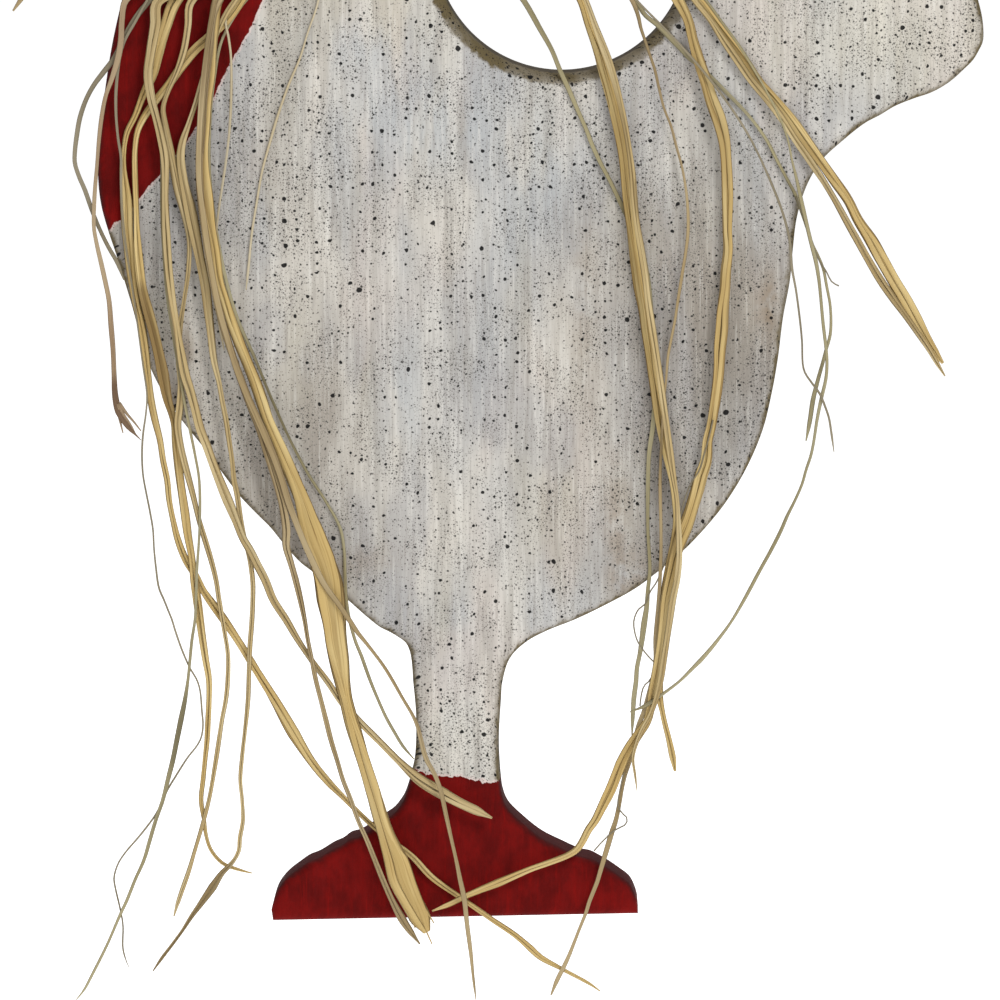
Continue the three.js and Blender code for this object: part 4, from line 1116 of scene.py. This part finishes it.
# %% Painted areas: pixels of the picture
WATTLE = [
    (262, 0), (250, 30), (242, 43), (232, 60), (225, 73), (218, 88), (212, 102), (203, 117),
    (193, 132), (186, 142), (172, 160), (160, 175), (150, 185), (140, 198), (134, 206),
    (122, 219), (115, 222), (110, 230), (60, 240), (40, 60), (90, -60), (120, -150),
    (150, -200), (196, -222), (240, -214), (270, -180), (284, -130), (282, -70), (274, -30),
]
FOOT_RED = [
    (380, 780), (402, 772), (414, 770), (430, 775), (448, 777), (462, 776), (470, 779),
    (484, 782), (492, 783), (500, 781), (530, 790), (700, 800), (700, 990), (200, 990), (200, 800),
]
COMB_RED = [
    (100, -330), (128, -336), (160, -350), (200, -360), (250, -364), (300, -362),
    (345, -352), (380, -334), (405, -312), (480, -290), (480, -560), (100, -560),
]
BEAK_OCHRE = [
    (158, -352), (150, -320), (152, -290), (158, -262), (156, -230), (150, -200),
    (146, -150), (0, -150), (0, -352),
]
SPATTER_AREAS = [  # these lists: pixel, half width, half height, how much
    ((275, 155), 80, 80, 0.5), ((530, 150), 55, 55, 0.8), ((460, 735), 50, 50, 0.9),
    ((920, 30), 80, 80, 0.5), ((640, 200), 40, 40, 0.3), ((700, 440), 80, 80, 0.3),
]
# Brown patches: some are stains, and those beside the strips are painted shadows of them.
STAINS_AND_SHADOWS = [
    ((770, 308), 12, 30, 0.9), ((632, 580), 22, 30, 0.6), ((186, 370), 10, 60, 0.7),
    ((615, 520), 12, 60, 0.5), ((345, 560), 40, 16, 0.4), ((585, 300), 14, 90, 0.35),
]
# Darker patches: some are painted shadows that the broad strips cast on the board beside them, the
# rest are the board darker there.
SHADOW_AND_DIM_AREAS = [
    ((650, 350), 95, 170, 0.75), ((650, 490), 60, 90, 0.6), ((757, 330), 42, 95, 1.0),
    ((290, 530), 80, 90, 0.9), ((250, 430), 50, 80, 0.6), ((140, 300), 30, 70, 0.6),
    ((690, 510), 50, 50, 0.6), ((560, 560), 110, 40, 0.3), ((265, 150), 60, 130, 0.45),
    ((450, 250), 150, 150, 0.2), ((740, 450), 45, 110, 0.5), ((700, 250), 60, 120, 0.65),
    ((338, 440), 40, 110, 0.9), ((200, 230), 60, 80, 0.4),
]
PALE_AREAS = [
    ((880, 40), 110, 60, 0.75), ((420, 25), 60, 40, 0.3), ((470, 720), 30, 40, 0.2),
]
BLUE_AREAS = [
    ((420, 120), 100, 55, 0.8), ((360, 45), 60, 30, 0.5), ((540, 190), 55, 60, 0.6),
    ((400, 390), 30, 90, 0.6), ((500, 300), 30, 100, 0.4),
    ((740, 180), 40, 60, 0.4), ((735, 440), 30, 60, 0.5),
]

# %% Tell each point of the board
USUAL_SPATTER, NOTCH_SPATTER = 0.6, 0.6
# In the notch the rim's dark bands grow: its stain, and the painted shade of the hollow.
USUAL_SOIL_AND_SHADE = 0.12
NOTCH_REACH = 12 * MM
count = len(board.data.vertices)
points = np.empty(count * 3)
board.data.vertices.foreach_get("co", points)
points = points.reshape(-1, 3)
shape = points[:, [0, 2]]


def painted(pixels):
    return depth_inside(shape, np.array([flat(seen_at(p, BOARD_THICKNESS)) for p in pixels]))


def areas(spots):
    """How much the soft spots add up to at each point."""
    total = np.zeros(count)
    for pixel, wide, high, much in spots:
        away = (shape - np.array(flat(seen_at(pixel, BOARD_THICKNESS)))) / PIXEL
        total += much * np.exp(-((away[:, 0] / wide) ** 2) - (away[:, 1] / high) ** 2)
    return total


edge_depth = np.maximum(depth_inside(shape, outline[::2]), 0)
behind = points[:, 1] + BOARD_THICKNESS
notch = flat(seen_at(NOTCH_CENTRE, BOARD_THICKNESS))
from_notch = np.abs(np.linalg.norm(shape - np.array(notch), axis=1) - NOTCH_RADIUS)
in_notch = np.clip(1 - from_notch / NOTCH_REACH, 0, 1) * (shape[:, 1] < notch.y + NOTCH_REACH)
guides = {
    "rim": (edge_depth - behind) / MM,
    "red": np.max([painted(WATTLE), painted(FOOT_RED), painted(COMB_RED)], axis=0) / MM,
    "beak": painted(BEAK_OCHRE) / MM,
    "spatter": USUAL_SPATTER + areas(SPATTER_AREAS) + NOTCH_SPATTER * in_notch,
    "soil_and_shade": USUAL_SOIL_AND_SHADE + (1 - USUAL_SOIL_AND_SHADE) * in_notch,
    "stain_and_shadow": areas(STAINS_AND_SHADOWS),
    "shadow_and_dim": areas(SHADOW_AND_DIM_AREAS),
    "pale": areas(PALE_AREAS),
    "blue": areas(BLUE_AREAS),
}
for name, values in guides.items():
    layer = board.data.attributes.new(name, "FLOAT", "POINT")
    layer.data.foreach_set("value", values)
    print(name, round(float(values.min()), 2), round(float(values.max()), 2))

# %% [markdown]
# ## The paint
#
# Up close the body is not one off-white: a brush left long upright streaks of blue grey,
# lilac, beige and olive, and black paint was flicked over it, from mist to drops of 2 mm. The
# sanded rim is stained and darkened with painted shade, most of all in the notch, and the back
# is bare pine. Some darker patches and stains, those beside the strips, are painted shadows of
# them. All of it is one finish, in layers: each layer is a mask and a colour over what lies
# below.

# %% Painted wood
paint = Finish("painted_wood", Roughness=0.8)
paint.shader.inputs["Specular IOR Level"].default_value = 0.08
rim, red = paint.attribute("rim"), paint.attribute("red")
beak, crowd = paint.attribute("beak"), paint.attribute("spatter")
stain_and_shadow, soil_and_shade = paint.attribute("stain_and_shadow"), paint.attribute("soil_and_shade")
shadow_and_dim, blue = paint.attribute("shadow_and_dim"), paint.attribute("blue")
pale_area = paint.attribute("pale")
depth = paint.part(paint.place, "Y")
across = paint.part(paint.place, "X") + depth * 0.8
upright = paint.part(paint.place, "Z") + depth * 0.6
sheet = paint.node("ShaderNodeCombineXYZ", None, {0: across, 1: upright})


def blotch(wide, tall, seed, detail=2.0, rough=0.5):
    """Noise in patches of this width and height in metres; tall ones are brush streaks."""
    moved = paint.shift(paint.stretch(sheet, 1 / wide, 1 / tall, 1.0), seed, seed, 0.0)
    sockets = {"Vector": moved, "Scale": 1.0, "Detail": detail, "Roughness": rough}
    return paint.node("ShaderNodeTexNoise", {"noise_dimensions": "2D"}, sockets)


COOL, WARM, CREAM = shade(176, 175, 173), shade(198, 193, 184), shade(205, 199, 182)
BLUE_GREY, SHADOW_AND_DIM_BROWN = shade(168, 173, 177), shade(132, 124, 114)
BRUSH_PALE, BRUSH_DARK, STAIN_AND_SHADOW = shade(222, 219, 212), shade(136, 130, 124), shade(132, 114, 92)
LAYERS = [  # width and height of the patches, seed, where the mask starts and ends, strength
    (0.026, 0.075, 4.0, 0.50, 0.66, 0.55, shade(192, 182, 174)),
    (0.020, 0.100, 9.0, 0.52, 0.68, 0.60, shade(170, 164, 150)),
    (0.022, 0.060, 13.0, 0.50, 0.66, 0.55, shade(156, 155, 156)),
    (0.0065, 0.060, 17.0, 0.50, 0.72, 0.40, shade(216, 213, 205)),
    (0.0040, 0.050, 21.0, 0.52, 0.72, 0.40, shade(150, 145, 137)),
]
colour = paint.mix(blotch(0.034, 0.10, 0.5).step(0.38, 0.6), COOL, WARM)
for wide, tall, seed, low, high, much, tone in LAYERS:
    colour = paint.mix(blotch(wide, tall, seed).step(low, high) * much, colour, tone)
cloudy = blotch(0.011, 0.050, 63.0, 3.0)
colour = paint.mix(pale_area * 0.7, colour, CREAM)
colour = paint.mix(blue * cloudy.step(0.3, 0.6), colour, BLUE_GREY)
# Painted shadow: the darker patches, the strips' shadows among them, mixed towards a grey brown.
shadow_and_dim_mask = shadow_and_dim.least(1.0) * (0.3 + cloudy.step(0.3, 0.66) * 0.45)
colour = paint.mix(shadow_and_dim_mask, colour, SHADOW_AND_DIM_BROWN)
hairline = blotch(0.0010, 0.022, 25.0, 3.0, 0.65)
colour = paint.mix(hairline.step(0.50, 0.78) * 0.35, colour, BRUSH_PALE)
colour = paint.mix(hairline.step(0.48, 0.24) * 0.4, colour, BRUSH_DARK)
patchy = blotch(0.012, 0.016, 33.0, 4.0, 0.6)
# Painted shadow and stain: the brown patches, the strips' shadows among them.
colour = paint.mix(stain_and_shadow * patchy.step(0.32, 0.58), colour, STAIN_AND_SHADOW)

# %% The rim, the red and the beak
RIM_GREY, SOIL_AND_SHADE_OLIVE, SIDE_STAIN_AND_SHADE = shade(132, 125, 114), shade(96, 85, 60), shade(58, 49, 37)
DEEP_RED, FULL_RED, RIM_RED = shade(84, 5, 4), shade(110, 9, 7), shade(50, 18, 18)
DULL_RED, BRIGHT_RED, FRINGE_PINK = shade(100, 12, 12), shade(134, 9, 5), shade(224, 196, 190)
OCHRE_DEEP, OCHRE_PALE, OCHRE_RIM = shade(166, 118, 42), shade(196, 150, 66), shade(92, 66, 32)
FOOT_CORNERS, FOOT_SLOPES = -250.0 * MM, -244.0 * MM
LEG_MIDDLE, LEG_FOOT = -150.0 * MM, -190.0 * MM
ragged = blotch(0.0036, 0.0036, 41.0, 4.0, 0.65)
rim_edge = rim + (ragged - 0.5) * 5.0
# Stain and painted shade at the rim: a grey band over the rounded edge, an olive band and the dark
# side wall, all wider and darker in the notch, where the hollow is in shade.
grey_band = rim_edge.step(3.4, 0.4) * (0.55 + soil_and_shade * 0.45)
colour = paint.mix(grey_band * 0.8, colour, RIM_GREY)
soiled_and_shaded = (rim_edge - soil_and_shade * 5.6).step(0.8, -1.4) * (0.7 + patchy.step(0.35, 0.6) * 0.3)
colour = paint.mix(soiled_and_shaded, colour, SOIL_AND_SHADE_OLIVE)
inner = (rim - soil_and_shade * 2.0 + (ragged - 0.5) * 5.0).step(-3.0, -8.0)
colour = paint.mix(inner * 0.85, colour, SIDE_STAIN_AND_SHADE)

wobble = blotch(0.0023, 0.0023, 47.0, 3.0, 0.6)
leg_end = paint.part(paint.place, "Z").step(LEG_MIDDLE, LEG_FOOT)
red_edge = red + (wobble - 0.5) * (1.1 + leg_end * 1.7)
mottle = blotch(0.010, 0.014, 53.0, 5.0, 0.65)
brushed = blotch(0.0016, 0.022, 59.0, 3.0, 0.6)
blood = paint.mix(mottle.step(0.3, 0.7), DEEP_RED, FULL_RED)
blood = paint.mix(brushed.step(0.54, 0.78) * 0.35, blood, DULL_RED)
blood = paint.mix(brushed.step(0.46, 0.22) * 0.35, blood, BRIGHT_RED)
above_foot = paint.part(paint.place, "Z").step(FOOT_CORNERS, FOOT_SLOPES)
blood = paint.mix(rim_edge.step(2.0, -2.4) * above_foot * 0.85, blood, RIM_RED)
fringe = red_edge.step(-1.0, -0.2) * rim.step(-1.0, 1.0)
colour = paint.mix(fringe * 0.5, colour, FRINGE_PINK)
colour = paint.mix(red_edge.step(-0.12, 0.16), colour, blood)
beak_edge = beak + (wobble - 0.5) * 1.6
ochre = paint.mix(mottle.step(0.38, 0.6), OCHRE_DEEP, OCHRE_PALE)
ochre = paint.mix(rim_edge.step(1.2, -4.0) * 0.6, ochre, OCHRE_RIM)
colour = paint.mix(beak_edge.step(-0.12, 0.16), colour, ochre)

# %% Spatter: mist, specks and drops
sockets = {"Vector": sheet, "Scale": 700.0, "Detail": 0.0}
shake = paint.node("ShaderNodeTexNoise", {"noise_dimensions": "2D"}, sockets, out="Color")
sockets = {0: shake, "Scale": 0.5 * MM}
uneven = paint.node("ShaderNodeVectorMath", {"operation": "SCALE"}, sockets)
uneven = paint.node("ShaderNodeVectorMath", {"operation": "ADD"}, {0: sheet, 1: uneven})
bare = (1.0 - red.step(-0.5, 0.5) * 0.95) * depth.step(-2.0 * MM, -9.0 * MM)


def spatter(cell, share, size, seed):
    """Dots, one at most in each cell of this many metres; size is a dot's largest radius."""
    moved = paint.shift(paint.stretch(uneven, 1 / cell, 1 / cell, 1.0), seed, seed, 0.0)
    settings = {"voronoi_dimensions": "2D"}
    cells = paint.node("ShaderNodeTexVoronoi", settings, {"Vector": moved, "Scale": 1.0})
    chances = paint.node("ShaderNodeSeparateColor", None, {0: cells.also("Color")})
    radius = (0.3 + chances.also("Green") * 0.7) * (size / cell)
    soft = 0.12 * MM / cell
    return (radius - cells).step(-soft, soft) * (chances < crowd * share)


clump = 0.45 + blotch(0.013, 0.015, 71.0).step(0.38, 0.66) * 1.0
drops = spatter(8.0 * MM, 0.16, 0.95 * MM, 3.0).most(spatter(3.6 * MM, 0.46, 0.62 * MM, 11.0))
specks = spatter(1.9 * MM, 0.85 * clump, 0.36 * MM, 19.0)
grit = spatter(1.05 * MM, 0.9 * clump, 0.23 * MM, 23.0)
mist = spatter(0.62 * MM, 1.1 * clump, 0.16 * MM, 27.0)
DOTS = [  # mask, how solid it covers, colour
    (mist, 0.6, shade(70, 65, 60)), (grit, 0.8, shade(48, 45, 42)),
    (specks, 0.9, shade(34, 32, 31)), (drops, 0.96, shade(12, 12, 14)),
]
for dots, much, tone in DOTS:
    colour = paint.mix(dots * bare * much, colour, tone)

# %% The eye, and the bare back
EYE_PIXEL = (212, -292)
EYE_RADIUS = 3.6 * MM
EYE_RING = 1.1 * MM
EYE_SOFT, EYE_WOBBLE = 0.2 * MM, 0.8 * MM
RING_PALE, EYE_BLACK = shade(226, 222, 212), shade(14, 12, 12)
PINE_PALE, PINE_DARK, PINE_LINE = shade(196, 160, 112), shade(164, 126, 82), shade(128, 94, 60)
BACK_RAGGED, BACK_STARTS, BACK_WHOLE = 2.4 * MM, -2.4 * MM, -1.6 * MM
centre = seen_at(EYE_PIXEL, BOARD_THICKNESS)
sockets = {0: paint.stretch(paint.place, 1.0, 0.0, 1.0), 1: (centre.x, 0.0, centre.z)}
away = paint.node("ShaderNodeVectorMath", {"operation": "DISTANCE"}, sockets, out="Value")
away = away + (wobble - 0.5) * EYE_WOBBLE
for radius, tone in ((EYE_RADIUS + EYE_RING, RING_PALE), (EYE_RADIUS, EYE_BLACK)):
    colour = paint.mix(away.step(radius, radius - EYE_SOFT), colour, tone)

grain = paint.noise(paint.stretch(paint.place, 90.0, 20.0, 5.0), 1.0, 4.0, 0.6)
pine = paint.mix(grain.step(0.35, 0.65), PINE_PALE, PINE_DARK)
pine = paint.mix(hairline.step(0.5, 0.3) * 0.35, pine, PINE_LINE)
back = (depth + (ragged - 0.5) * BACK_RAGGED).step(BACK_STARTS, BACK_WHOLE)
colour = paint.mix(back, colour, pine)
paint.feed("Base Color", colour)
paint.feed("Roughness", 0.66 + hairline * 0.2)
paint.bump(hairline, 0.15 * MM, 0.6)

board.data.materials.append(paint.material)
bpy.context.view_layer.objects.active = board
board.select_set(True)
bpy.ops.object.shade_smooth_by_angle(angle=math.radians(40))
board.select_set(False)
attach(board, "root")
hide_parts("chicken_board")
print("paint nodes", len(paint.tree.nodes))

# %% [markdown]
# ## Floor and light
#
# The picture has a white ground and no hard shadow. A large pale floor well below the tails
# fills the whole frame, a white sky gives soft light from all sides, and one large lamp above
# and to the right gives the strips their thin shadows. A second lamp, high behind the board,
# lights the floor there.

# %% Floor and light
FLOOR_HEIGHT = -0.55
FLOOR_SIZE = 60
FLOOR_WHITE, FLOOR_GLOW, SKY_STRENGTH = 0.92, 0.66, 0.42
WHITE = (1, 1, 1, 1)
bpy.ops.mesh.primitive_plane_add(size=FLOOR_SIZE, location=(0, 0, 0))
floor = bpy.context.object
floor.name = "floor"
floor.data.transform(Matrix.Translation((0, 0, FLOOR_HEIGHT)))
pale = Finish("pale_floor", Roughness=0.9)
pale.shader.inputs["Base Color"].default_value = (FLOOR_WHITE, FLOOR_WHITE, FLOOR_WHITE, 1)
pale.shader.inputs["Emission Color"].default_value = WHITE
pale.shader.inputs["Emission Strength"].default_value = FLOOR_GLOW
floor.data.materials.append(pale.material)

scene = bpy.context.scene
scene.view_settings.view_transform = "Standard"
world = bpy.data.worlds.new("soft_sky")
world.use_nodes = True
world.node_tree.nodes["Background"].inputs["Color"].default_value = WHITE
world.node_tree.nodes["Background"].inputs["Strength"].default_value = SKY_STRENGTH
scene.world = world


def lamp(name, place, target, size, power):
    data = bpy.data.lights.new(name, "AREA")
    data.size, data.energy = size, power
    made = bpy.data.objects.new(name, data)
    made.location = place
    made.rotation_euler = (Vector(target) - Vector(place)).to_track_quat("-Z", "Y").to_euler()
    scene.collection.objects.link(made)


lamp("key", (0.9, -1.7, 1.3), (0.0, 0.0, -0.05), 0.7, 27)
lamp("top", (0.0, 1.5, 2.2), (0.0, 0.6, -0.5), 2.0, 40)
